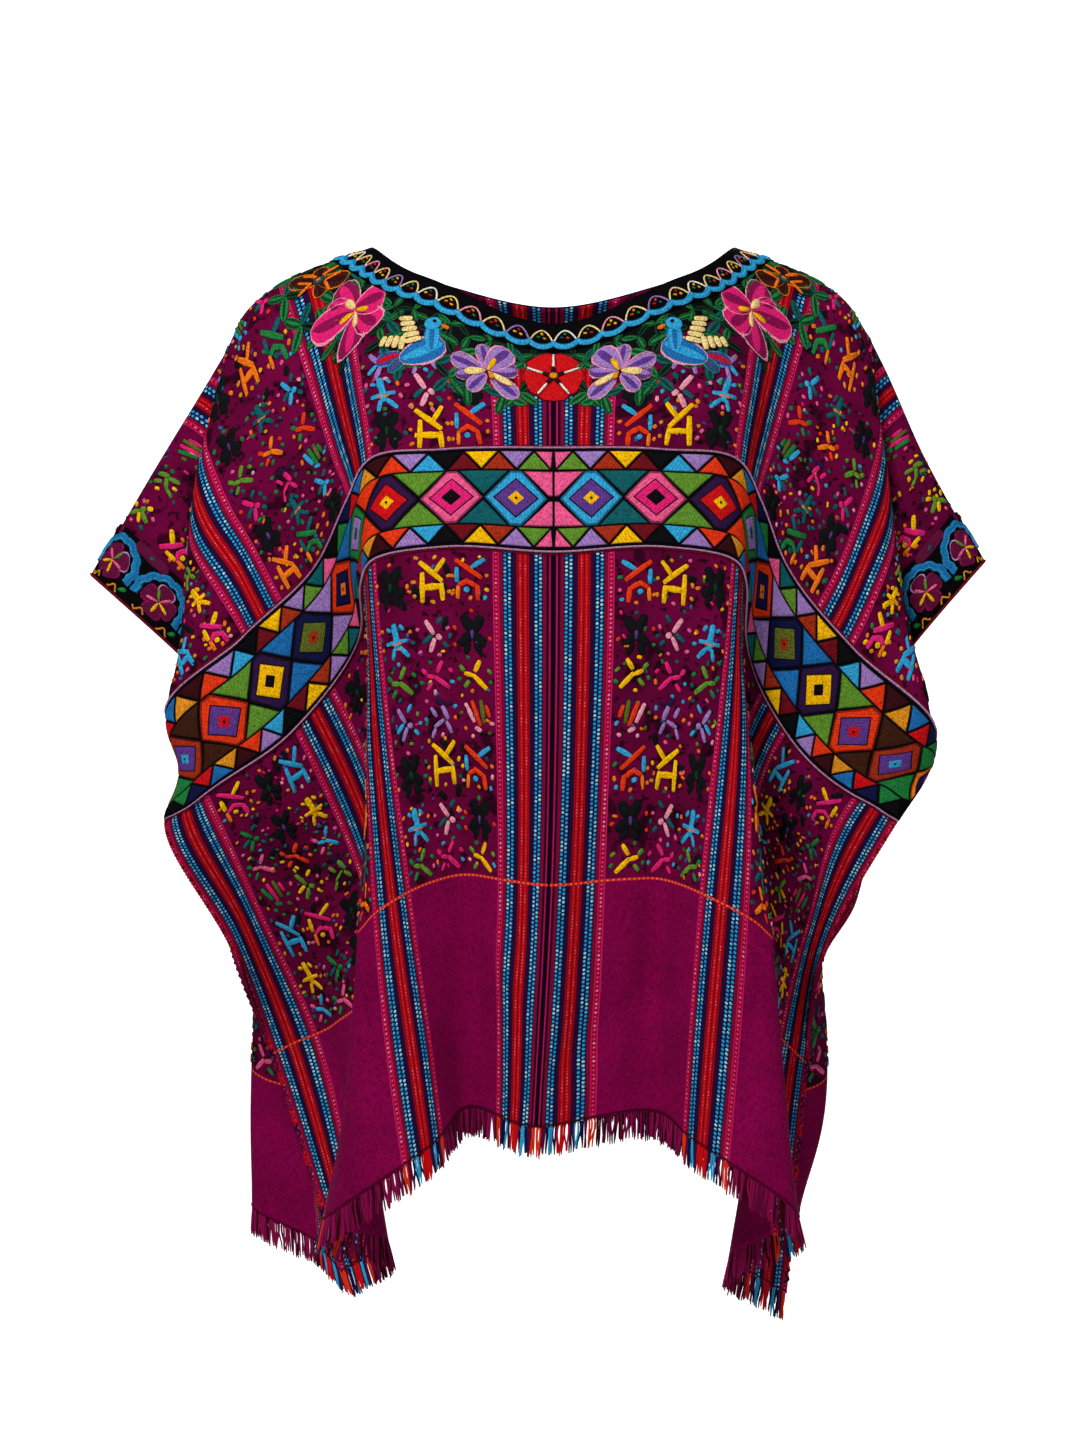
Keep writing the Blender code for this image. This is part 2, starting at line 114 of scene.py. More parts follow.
FRONT_LINES = (
    HangLine("centre", 1.0, (
        (0, 0, 0, 0, -4, 0, 0), (95, 0, 0, 0, -75, -58, -58), (187, 0, 0, 0, -116, -140, -140),
        (253, 0, 0, 0, -128, -205, -205), (461, 0, -3, -3, -136, -413, -413),
        (612, 0, -11, -11, -136, -564, -564),
    )),
    HangLine("inner", 1.0, (
        (0, 70, -97, 97, 2, 8, 8), (68, 70, -86, 86, -50, -26, -26), (187, 70, -70, 70, -114, -141, -141),
        (253, 70, -70, 70, -128, -202, -202), (461, 75, -62, 66, -122, -408, -410),
        (612, 80, -57, 66, -106, -556, -558),
    )),
    HangLine("neck_side", 1.0, (
        (0, 100, -121, 121, 5, 0, 0), (100, 114, -126, 126, -58, -68, -68),
        (187, 116, -115, 115, -102, -146, -146), (253, 118, -113, 113, -118, -210, -210),
        (461, 120, -92, 94, -136, -418, -419), (612, 122, -72, 84, -134, -572, -570),
    )),
    HangLine("crest", 0.9, (
        (0, 152, -181, 176, 6, -22, -20), (70, 152, -161, 158, -38, -83, -80),
        (138, 152, -142, 140, -60, -141, -139), (187, 152, -130, 130, -88, -171, -170),
        (253, 148, -120, 120, -106, -224, -224), (461, 178, -122, 136, -136, -443, -445),
        (612, 205, -134, 150, -132, -616, -616),
    )),
    HangLine("pocket", 0.9, (
        (0, 188, -207, 199, 6, -46, -40), (70, 186, -188, 183, -38, -105, -102),
        (138, 190, -168, 166, -58, -166, -165), (187, 190, -148, 146, -70, -206, -206),
        (253, 188, -122, 122, -70, -252, -256), (461, 240, -108, 120, -84, -470, -470),
        (612, 250, -146, 152, -98, -630, -630),
    )),
    HangLine("side", 0.9, (
        (0, 196, -210, 203, 6, -53, -47), (64, 208, -206, 198, -32, -117, -112),
        (112, 226, -205, 197, -50, -170, -166), (150, 245, -200, 195, -58, -213, -214),
        (187, 267, -199, 192, -62, -257, -264), (253, 267, -167, 150, -60, -316, -318),
        (461, 300, -131, 140, -26, -500, -500), (612, 300, -108, 115, -56, -645, -655),
    )),
    HangLine("arm_crest", 0.8, (
        (0, 205, -214, 208, 6, -62, -55), (64, 230, -226, 213, -26, -131, -126),
        (112, 267, -235, 221, -42, -197, -195), (150, 306, -240, 230, -48, -253, -250),
        (187, 345, -247, 243, -56, -310, -311), (253, 345, -222, 193, -64, -356, -358),
        (365, 345, -190, 166, -28, -434, -440), (461, 345, -156, 150, 16, -518, -520),
        (612, 340, -118, 125, -24, -660, -670),
    )),
    HangLine("arm_tuck", 0.7, (
        (0, 225, -224, 217, 7, -79, -72), (18, 232, -213, 207, -3, -96, -90),
        (42, 264, -215, 205, -8, -142, -136), (62, 304, -221, 211, -10, -187, -181),
        (88, 340, -222, 213, -13, -237, -230), (140, 364, -212, 210, -26, -300, -296),
        (187, 364, -237, 246, -48, -324, -321), (253, 362, -235, 206, -63, -366, -365),
        (365, 364, -201, 172, -20, -447, -453), (461, 364, -174, 161, 27, -526, -531),
        (612, 362, -129, 139, -9, -667, -679),
    )),
    HangLine("wing", 0.6, (
        (0, 300, -263, 246, 8, -143, -136), (42, 325, -244, 230, -6, -192, -185),
        (88, 364, -232, 221, -13, -256, -250), (140, 375, -206, 205, -22, -305, -302),
        (187, 374, -231, 245, -42, -333, -326), (253, 374, -244, 215, -62, -371, -371),
        (365, 375, -207, 175.5, -15.5, -454.5, -460.5), (461, 375, -183, 167, 33, -531, -537),
        (612, 374, -135, 148, 2, -672, -686),
    )),
    HangLine("selvage", 0.5, (
        (0, 383, -305, 285, 8, -215, -206), (80, 383, -246, 236, -10, -267, -262),
        (140, 383, -203, 203, -20, -308, -306), (187, 383, -226, 244, -38, -340, -330),
        (215, 383, -241, 242, -52, -358, -345), (253, 383, -250, 222, -60, -374, -375),
        (365, 383, -212, 178, -12, -460, -466), (461, 383, -189, 171, 36, -534, -541),
        (612, 383, -140, 155, 10, -676, -690),
    )),
)
BACK_LINES = (
    HangLine("centre", 1.0, (
        (0, 0, 0, 0, 12, 0, 0), (75, 0, 0, 0, 58, -32, -32), (152, 0, 0, 0, 98, -99, -99),
        (253, 0, 0, 0, 112, -199, -199), (461, 0, 0, 0, 116, -407, -407), (612, 0, 0, 0, 120, -558, -558),
    )),
    HangLine("inner", 1.0, (
        (0, 72, -98, 98, 6, 8, 8), (52, 72, -88, 88, 42, -16, -16), (152, 72, -72, 72, 94, -100, -100),
        (253, 72, -70, 70, 108, -201, -201), (461, 75, -58, 58, 106, -420, -420),
        (612, 75, -52, 52, 104, -572, -572),
    )),
    HangLine("neck_side", 1.0, (
        (0, 100, -121, 121, 5, 0, 0), (100, 114, -126, 126, 66, -68, -68),
        (187, 116, -115, 115, 96, -148, -148), (253, 118, -113, 113, 108, -213, -213),
        (461, 118, -92, 92, 124, -444, -444), (612, 118, -86, 86, 130, -590, -590),
    )),
    HangLine("crest", 0.9, (
        (0, 152, -181, 176, 6, -22, -20), (70, 152, -161, 158, 50, -83, -80),
        (138, 152, -144, 142, 74, -143, -141), (187, 155, -140, 138, 88, -186, -184),
        (253, 160, -140, 138, 100, -250, -248), (461, 165, -132, 130, 118, -470, -468),
        (612, 165, -128, 119, 116, -606, -602),
    )),
    HangLine("side", 0.9, (
        (0, 188, -207, 199, 6, -46, -40), (70, 196, -194, 188, 48, -112, -108),
        (112, 215, -198, 190, 60, -160, -156), (150, 232, -196, 188, 68, -203, -200),
        (187, 240, -192, 184, 76, -240, -236), (253, 240, -182, 176, 86, -296, -292),
        (461, 250, -190, 174, 112, -526, -520), (612, 240, -190, 165, 125, -634, -628),
    )),
    HangLine("arm_crest", 0.8, (
        (0, 205, -214, 208, 6, -62, -55), (64, 230, -221, 209, 38, -131, -126),
        (112, 267, -226, 214, 58, -197, -195), (150, 306, -228, 220, 66, -253, -250),
        (187, 330, -226, 218, 74, -296, -292), (253, 310, -206, 198, 80, -340, -338),
        (365, 290, -200, 182, 76, -440, -442), (461, 285, -206, 188, 88, -546, -550),
        (612, 280, -206, 169, 90, -642, -646),
    )),
    HangLine("arm_tuck", 0.7, (
        (0, 225, -224, 217, 7, -79, -72), (18, 232, -218, 208, 18, -96, -90),
        (42, 264, -220, 207, 30, -142, -136), (62, 304, -226, 213, 36, -187, -181),
        (88, 340, -226, 214, 42, -237, -230), (140, 362, -212, 208, 50, -298, -294),
        (187, 360, -214, 209, 60, -329, -325), (253, 350, -213, 206, 72, -367, -363),
        (365, 345, -192, 168, 22, -452, -456), (410, 345, -183, 162, 44, -506, -511),
        (461, 345, -172, 156, 62, -556, -560), (612, 345, -158, 144, 48, -662, -674),
    )),
    HangLine("wing", 0.6, (
        (0, 300, -263, 246, 8, -143, -136), (42, 325, -244, 230, 22, -192, -185),
        (88, 364, -232, 221, 30, -256, -250), (140, 374, -206, 205, 38, -304, -301),
        (187, 372, -214, 208, 56, -339, -334), (253, 370, -221, 212, 68, -384, -380),
        (300, 370, -214, 196, 47, -421, -421), (365, 368, -204, 174, 1, -457, -462),
        (410, 368, -196, 169, 24, -501, -508), (461, 367, -180, 162, 51, -545, -551),
        (612, 366, -150, 150, 28, -668, -682),
    )),
    HangLine("selvage", 0.5, (
        (0, 383, -305, 285, 8, -215, -206), (80, 383, -246, 236, 26, -267, -262),
        (140, 383, -203, 203, 36, -308, -306), (187, 383, -213, 208, 52, -347, -342),
        (253, 383, -224, 214, 64, -396, -391), (300, 383, -222, 204, 43, -432, -431),
        (365, 383, -212, 178, -12, -460, -466), (461, 383, -189, 171, 36, -534, -541),
        (612, 383, -140, 155, 10, -676, -690),
    )),
)
HANG_LINES: dict[Face, tuple[HangLine, ...]] = {Face.FRONT: FRONT_LINES, Face.BACK: BACK_LINES}


@dataclass(frozen=True)
class Crease:
    """A soft trough (depth below 0) or ridge (above 0) from one place on the cloth to another, mm."""

    face: Face
    start: tuple[float, float]
    end: tuple[float, float]
    width: float
    depth: float
    bow: float = 0.0


CREASES: tuple[Crease, ...] = (
    Crease(Face.FRONT, (-96, 268), (-58, 600), 13, -3.4, 5),
    Crease(Face.FRONT, (-44, 290), (-26, 590), 11, 2.4, -4),
    Crease(Face.FRONT, (30, 275), (22, 606), 12, -2.6, 5),
    Crease(Face.FRONT, (92, 262), (70, 600), 13, -3.0, -6),
    Crease(Face.FRONT, (58, 330), (48, 608), 11, 2.2, 4),
    Crease(Face.FRONT, (-150, 300), (-126, 606), 12, 3.0, 6),
    Crease(Face.FRONT, (148, 292), (128, 608), 12, 2.8, -5),
    Crease(Face.FRONT, (-172, 330), (-150, 600), 9, -2.6, 0),
    Crease(Face.FRONT, (176, 340), (156, 604), 9, -2.4, 0),
    Crease(Face.FRONT, (-250, 190), (-214, 520), 14, 3.2, 8),
    Crease(Face.FRONT, (252, 196), (218, 520), 14, 2.8, -8),
    Crease(Face.FRONT, (-296, 250), (-262, 560), 13, -2.8, 6),
    Crease(Face.FRONT, (292, 240), (258, 560), 13, -2.8, -6),
    Crease(Face.FRONT, (-318, 330), (-322, 596), 12, 2.6, 0),
    Crease(Face.FRONT, (316, 330), (318, 600), 12, 2.2, 0),
    Crease(Face.FRONT, (-178, 24), (-214, 176), 11, -2.0, 7),
    Crease(Face.FRONT, (174, 20), (212, 176), 11, -2.2, -7),
    Crease(Face.FRONT, (-236, 60), (-288, 200), 11, 2.0, 5),
    Crease(Face.FRONT, (240, 70), (288, 196), 11, 1.8, -5),
    Crease(Face.FRONT, (-118, 90), (-92, 180), 12, -1.6, 4),
    Crease(Face.FRONT, (120, 84), (96, 182), 12, -1.4, -4),
    Crease(Face.FRONT, (-110, 470), (10, 560), 16, 1.8, 10),
    Crease(Face.FRONT, (96, 490), (-16, 600), 15, -1.8, 8),
    Crease(Face.BACK, (-100, 170), (-64, 600), 15, -7.8, 6),
    Crease(Face.BACK, (-34, 210), (-30, 600), 13, 6.9, -6),
    Crease(Face.BACK, (26, 180), (38, 606), 14, -7.4, 6),
    Crease(Face.BACK, (96, 160), (84, 604), 14, 7.4, -8),
    Crease(Face.BACK, (-160, 190), (-140, 600), 13, 6.9, 6),
    Crease(Face.BACK, (152, 210), (136, 596), 13, -6.9, -6),
    Crease(Face.BACK, (-222, 200), (-196, 560), 13, -6.9, 6),
    Crease(Face.BACK, (226, 190), (196, 560), 13, 6.4, -6),
    Crease(Face.BACK, (-270, 240), (-256, 540), 12, 6.0, 0),
    Crease(Face.BACK, (272, 250), (250, 550), 12, -6.0, 0),
    Crease(Face.BACK, (-190, 30), (-150, 200), 12, -5.1, 6),
    Crease(Face.BACK, (190, 34), (150, 210), 12, -5.1, -6),
    Crease(Face.BACK, (-70, 90), (-60, 230), 13, 4.6, 4),
    Crease(Face.BACK, (74, 96), (58, 240), 13, 4.1, -4),
)


def ease(x: np.ndarray) -> np.ndarray:
    """A smooth step from 0 to 1."""
    t = np.clip(x, 0.0, 1.0)
    return t * t * (3 - 2 * t)


def knot_slopes(knots: np.ndarray, values: np.ndarray) -> np.ndarray:
    """Slopes of a smooth curve through unevenly spaced knots.

    Args:
        knots: where the knots are.
        values: one row of values a knot.

    Returns:
        One row of slopes a knot.
    """
    steps = np.diff(knots)
    rises = np.diff(values, axis=0) / steps[:, None]
    slopes = np.zeros_like(values)
    slopes[0], slopes[-1] = rises[0], rises[-1]
    share = (steps[1:] / (steps[:-1] + steps[1:]))[:, None]
    slopes[1:-1] = share * rises[:-1] + (1 - share) * rises[1:]
    return slopes


def smooth(knots: np.ndarray, values: np.ndarray, at: np.ndarray,
           slopes: np.ndarray | None = None) -> np.ndarray:
    """Smooth curve through knots.

    Args:
        knots: where the knots are, rising.
        values: one row of values a knot.
        at: places to read the curve.
        slopes: slopes at the knots, worked out if left out.

    Returns:
        One row of values a place.
    """
    if slopes is None:
        slopes = knot_slopes(knots, values)
    i = np.clip(np.searchsorted(knots, at, side="right") - 1, 0, len(knots) - 2)
    h = (knots[i + 1] - knots[i])[:, None]
    f = np.clip((at - knots[i]) / h[:, 0], 0, 1)[:, None]
    return ((2 * f**3 - 3 * f**2 + 1) * values[i] + (f**3 - 2 * f**2 + f) * h * slopes[i]
            + (3 * f**2 - 2 * f**3) * values[i + 1] + (f**3 - f**2) * h * slopes[i + 1])


@dataclass
class Drape:
    """The worn cloth as a fine table of points and outward normals for each face."""

    step: float = 1.5
    fade: float = 0.3
    calm: tuple[float, float, float] = (30.0, 26.0, 10.0)
    points: dict[Face, np.ndarray] = field(default_factory=dict)
    normals: dict[Face, np.ndarray] = field(default_factory=dict)

    def __post_init__(self) -> None:
        """Works out both faces, then folds the creases in."""
        self.us = np.linspace(-HALF_WIDTH, HALF_WIDTH, 2 * round(HALF_WIDTH / self.step) + 1)
        self.vs = np.linspace(0.0, LENGTH, round(LENGTH / self.step) + 1)
        for face in Face:
            base = self.hang(face)
            outward = self.outward(face, base)
            self.points[face] = base + outward * self.crease_depth(face)[..., None]
        for face in Face:
            self.normals[face] = self.outward(face, self.points[face])
        self.share_normals()

    def hang(self, face: Face) -> np.ndarray:
        """Hangs one face on its lines.

        Args:
            face: front or back.

        Returns:
            Its points in rows of v, mm.
        """
        lines = []
        for line in HANG_LINES[face]:
            rows = np.array(line.rows, float)
            slopes = knot_slopes(rows[:, 0], rows[:, 1:])
            over = line.roundness * (-1 if face is Face.FRONT else 1)
            slopes[0] = (slopes[0][0], 0, 0, over, 0, 0)
            lines.append(smooth(rows[:, 0], rows[:, 1:], self.vs, slopes))
        table = np.array(lines)
        left = table[:0:-1][:, :, [0, 1, 3, 4]] * (-1, 1, 1, 1)
        across = np.concatenate([left, table[:, :, [0, 2, 3, 5]]])
        return np.array([smooth(row[:, 0], row[:, 1:], self.us) for row in across.transpose(1, 0, 2)])

    def outward(self, face: Face, points: np.ndarray) -> np.ndarray:
        """Unit outward normals of a table of points."""
        normal = np.cross(np.gradient(points, axis=1), np.gradient(points, axis=0))
        normal *= -1 if face is Face.FRONT else 1
        return normal / np.linalg.norm(normal, axis=2, keepdims=True)

    def crease_depth(self, face: Face) -> np.ndarray:
        """How far the listed creases lift or sink each point, mm, with none at folds and seams."""
        u, v = np.meshgrid(self.us, self.vs)
        depth = np.zeros_like(u)
        for crease in (c for c in CREASES if c.face is face):
            start, end = np.array(crease.start), np.array(crease.end)
            run = end - start
            length = np.hypot(*run)
            along = ((u - start[0]) * run[0] + (v - start[1]) * run[1]) / length**2
            aside = ((u - start[0]) * run[1] - (v - start[1]) * run[0]) / length
            aside = aside - crease.bow * np.sin(np.pi * np.clip(along, 0, 1))
            ends = ease(along / self.fade) * ease((1.08 - along) / self.fade)
            depth += crease.depth * np.exp(-((aside / crease.width) ** 2)) * ends
        fold, selvage, seam = self.calm
        free = ease(v / fold) * ease((HALF_WIDTH - np.abs(u)) / selvage) * ease(np.abs(u) / seam)
        return depth * free

    def share_normals(self) -> None:
        """Gives both faces one normal along the shoulder fold and the side seams."""
        seam = self.vs >= UNDERARM
        front, back = self.normals[Face.FRONT], self.normals[Face.BACK]
        for where in ((0, slice(None)), (seam, 0), (seam, -1)):
            mean = front[where] + back[where]
            mean /= np.linalg.norm(mean, axis=-1, keepdims=True)
            front[where], back[where] = mean, mean

    def read(self, table: np.ndarray, u: np.ndarray, v: np.ndarray) -> np.ndarray:
        """Reads a table between its points.

        Args:
            table: one value or vector a point of the cloth.
            u: places across, mm.
            v: places down, mm.

        Returns:
            One row a place.
        """
        i = np.clip((v - self.vs[0]) / (self.vs[1] - self.vs[0]), 0, len(self.vs) - 1.001)
        j = np.clip((u - self.us[0]) / (self.us[1] - self.us[0]), 0, len(self.us) - 1.001)
        i0, j0 = i.astype(int), j.astype(int)
        a, b = (i - i0)[:, None], (j - j0)[:, None]
        return ((table[i0, j0] * (1 - b) + table[i0, j0 + 1] * b) * (1 - a)
                + (table[i0 + 1, j0] * (1 - b) + table[i0 + 1, j0 + 1] * b) * a)

    def place(self, face: Face, u: np.ndarray, v: np.ndarray, lift: np.ndarray | float) -> np.ndarray:
        """Points on the worn cloth.

        Args:
            face: front or back.
            u: places across the cloth, mm, below 0 on the viewer's left.
            v: places down the cloth, mm; below 0 or past the hem runs straight on.
            lift: distance out from the cloth, mm.

        Returns:
            Points in metres in the row frame.
        """
        u, v = np.asarray(u, float), np.asarray(v, float)
        inside = np.clip(v, 0.0, LENGTH)
        point = self.read(self.points[face], u, inside)
        normal = self.read(self.normals[face], u, inside)
        past = (v - inside)[:, None]
        if past.any():
            before = self.read(self.points[face], u, np.clip(inside - 6.0, 0.0, LENGTH))
            run = point - before
            run /= np.maximum(np.linalg.norm(run, axis=1, keepdims=True), 1e-6)
            point = point + run * past
        return (point + normal * np.broadcast_to(np.asarray(lift, float), u.shape)[:, None]) * MM


def neck_v(face: Face, u: np.ndarray | float) -> np.ndarray:
    """The v of the neck edge at u, 0 outside the neck hole."""
    inside = np.clip(1 - (np.abs(u) / NECK_HALF_WIDTH) ** 2, 0, 1)
    return face.neck_depth * inside**NECK_FULLNESS


def ring_point(face: Face, angle: np.ndarray, grow: np.ndarray | float) -> tuple[np.ndarray, np.ndarray]:
    """Flat places beside the neck hole.

    Args:
        face: front or back.
        angle: 0 at the centre and a quarter turn at each fold end, radians.
        grow: distance out from the neck edge, mm.

    Returns:
        The places' u and v, mm.
    """
    u = (NECK_HALF_WIDTH + grow) * np.sin(angle)
    v = (face.neck_depth + grow) * np.abs(np.cos(angle)) ** (2 * NECK_FULLNESS)
    return u, v


# Colours


def dye(code: str) -> tuple[float, float, float, float]:
    """A linear colour from a screen colour written as six hexadecimal digits."""
    parts = [int(code[i:i + 2], 16) / 255 for i in (0, 2, 4)]
    return tuple(p / 12.92 if p <= 0.04045 else ((p + 0.055) / 1.055) ** 2.4 for p in parts) + (1.0,)


class Yarn(Enum):
    """The dyed yarns that the weaver and the embroiderer used."""

    BLACK = dye("060508")
    COAL = dye("0d0f12")
    CREAM = dye("efd48c")
    WHITE = dye("efe9dc")
    YELLOW = dye("f4b800")
    GOLD = dye("d98a1c")
    ORANGE = dye("ee7411")
    VERMILION = dye("e0350f")
    RED = dye("c80c14")
    BRICK = dye("a02c12")
    WINE = dye("6a0a18")
    MAROON = dye("35060f")
    HOT_PINK = dye("e01f72")
    PINK = dye("e8578c")
    ROSE = dye("eb97ac")
    LILAC = dye("9a76ba")
    PURPLE = dye("5a3585")
    PLUM = dye("2c1240")
    SKY = dye("2f9fd2")
    BLUE = dye("1b68ab")
    NAVY = dye("0e1140")
    TEAL = dye("0c5a60")
    GREEN = dye("1d7a3a")
    LEAF = dye("5c8c2a")
    OLIVE = dye("5a6420")
    FOREST = dye("0a3a22")
    BROWN = dye("3a1a0c")
    MAUVE = dye("bf86b4")
    AZURE = dye("1a76ac")
    MAGENTA = dye("8a0d4c")
    CLARET = dye("5f0a38")


# Its short name, for charts and colour lists
Y = Yarn


# Shader maths


class Wire:
    """One shader socket, with Python operators that add Math nodes."""

    def __init__(self, graph: "Graph", socket: bpy.types.NodeSocket) -> None:
        """Wraps a socket of a graph."""
        self.graph, self.socket = graph, socket

    def _math(self, operation: str, *values: "Wire | float") -> "Wire":
        """A Math node on these values."""
        return self.graph.node("ShaderNodeMath", {"operation": operation}, dict(enumerate(values)))

    def __add__(self, other: "Wire | float") -> "Wire":
        """The sum."""
        return self._math("ADD", self, other)

    def __radd__(self, other: float) -> "Wire":
        """The sum, the other way round."""
        return self._math("ADD", other, self)

    def __sub__(self, other: "Wire | float") -> "Wire":
        """The difference."""
        return self._math("SUBTRACT", self, other)

    def __rsub__(self, other: float) -> "Wire":
        """The difference, the other way round."""
        return self._math("SUBTRACT", other, self)

    def __mul__(self, other: "Wire | float") -> "Wire":
        """The product."""
        return self._math("MULTIPLY", self, other)

    def __rmul__(self, other: float) -> "Wire":
        """The product, the other way round."""
        return self._math("MULTIPLY", other, self)

    def __truediv__(self, other: "Wire | float") -> "Wire":
        """The quotient."""
        return self._math("DIVIDE", self, other)

    def __abs__(self) -> "Wire":
        """The size without its sign."""
        return self._math("ABSOLUTE", self)

    def sine(self) -> "Wire":
        """The sine."""
        return self._math("SINE", self)

    def fraction(self) -> "Wire":
        """What is left past the whole number."""
        return self._math("FRACT", self)

    def least(self, other: "Wire | float") -> "Wire":
        """The smaller of two."""
        return self._math("MINIMUM", self, other)

    def most(self, other: "Wire | float") -> "Wire":
        """The larger of two."""
        return self._math("MAXIMUM", self, other)

    def above(self, edge: float, soft: float = 0.0) -> "Wire":
        """1 where the value is past an edge, 0 before it, over a soft width."""
        if soft <= 0:
            return self._math("GREATER_THAN", self, edge)
        return self.graph.node("ShaderNodeMapRange", {"interpolation_type": "SMOOTHSTEP"},
                               {"Value": self, "From Min": edge - soft / 2, "From Max": edge + soft / 2})

    def below(self, edge: float, soft: float = 0.0) -> "Wire":
        """1 where the value is before an edge."""
        return 1.0 - self.above(edge, soft)

    def near(self, middle: float, reach: float, soft: float = 0.0) -> "Wire":
        """1 within a reach of a middle value."""
        return abs(self - middle).below(reach, soft)


class Graph:
    """The node tree of one material."""

    def __init__(self, name: str) -> None:
        """A new material with only its output."""
        self.material = bpy.data.materials.new(name)
        self.material.use_nodes = True
        self.tree = self.material.node_tree
        self.tree.nodes.clear()

    def node(self, kind: str, settings: dict | None = None, values: dict | None = None,
             out: str | int = 0) -> Wire:
        """Adds a node.

        Args:
            kind: the node's type.
            settings: properties set first; "stops" are a ramp's (place, colour) pairs.
            values: socket name or number to a number, colour or Wire.
            out: which output to read.

        Returns:
            The output as a Wire.
        """
        node = self.tree.nodes.new(kind)
        for key, value in (settings or {}).items():
            if key == "stops":
                ramp = node.color_ramp
                ramp.interpolation = "CONSTANT"
                while len(ramp.elements) < len(value):
                    ramp.elements.new(0.5)
                for element, (place, colour) in zip(ramp.elements, value):
                    element.position, element.color = place, colour
            else:
                setattr(node, key, value)
        for key, value in (values or {}).items():
            socket = node.inputs[key]
            if isinstance(value, Wire):
                self.tree.links.new(value.socket, socket)
            else:
                socket.default_value = value
        return Wire(self, node.outputs[out])

    def mix(self, factor: Wire | float, under: Wire | tuple, over: Wire | tuple, blend: str = "MIX") -> Wire:
        """Two colours mixed."""
        return self.node("ShaderNodeMix", {"data_type": "RGBA", "blend_type": blend, "clamp_factor": True},
                         {0: factor, 6: under, 7: over}, out=2)

    def noise(self, scale: float, detail: float = 2.0) -> Wire:
        """Soft noise from 0 to 1, at a number of lumps a metre."""
        where = self.node("ShaderNodeTexCoord", out="Object")
        return self.node("ShaderNodeTexNoise", {}, {"Vector": where, "Scale": scale, "Detail": detail})

    def flat_mm(self) -> tuple[Wire, Wire]:
        """The piece's own flat place from its UV map, in mm."""
        flat = self.node("ShaderNodeUVMap", {"uv_map": "flat"})
        u, v = (self.node("ShaderNodeSeparateXYZ", {}, {0: flat}, axis) for axis in "XY")
        return u * 1000.0, v * 1000.0

    def yarn(self) -> Wire:
        """The piece's own yarn colours."""
        return self.node("ShaderNodeAttribute", {"attribute_name": "yarn"}, out="Color")

    def bump(self, height: Wire, strength: float, distance: float) -> Wire:
        """A normal from a height."""
        return self.node("ShaderNodeBump", {}, {"Strength": strength, "Distance": distance, "Height": height})

    def finish(self, colour: Wire | tuple, rough: Wire | float, normal: Wire | None, specular: float = 0.5,
               glow: Wire | None = None) -> bpy.types.Material:
        """Closes the material with one Principled shader.

        Args:
            colour: its base colour.
            rough: its roughness.
            normal: its bumped normal, or None where it is smooth.
            specular: its specular level.
            glow: the colour that it gives off, or None.

        Returns:
            The material.
        """
        values: dict = {"Base Color": colour, "Roughness": rough, "Specular IOR Level": specular}
        if glow is not None:
            values.update({"Emission Color": glow, "Emission Strength": 1.0})
        if normal is not None:
            values["Normal"] = normal
        shader = self.node("ShaderNodeBsdfPrincipled", {}, values)
        output = self.tree.nodes.new("ShaderNodeOutputMaterial")
        self.tree.links.new(shader.socket, output.inputs["Surface"])
        return self.material


# Finishes


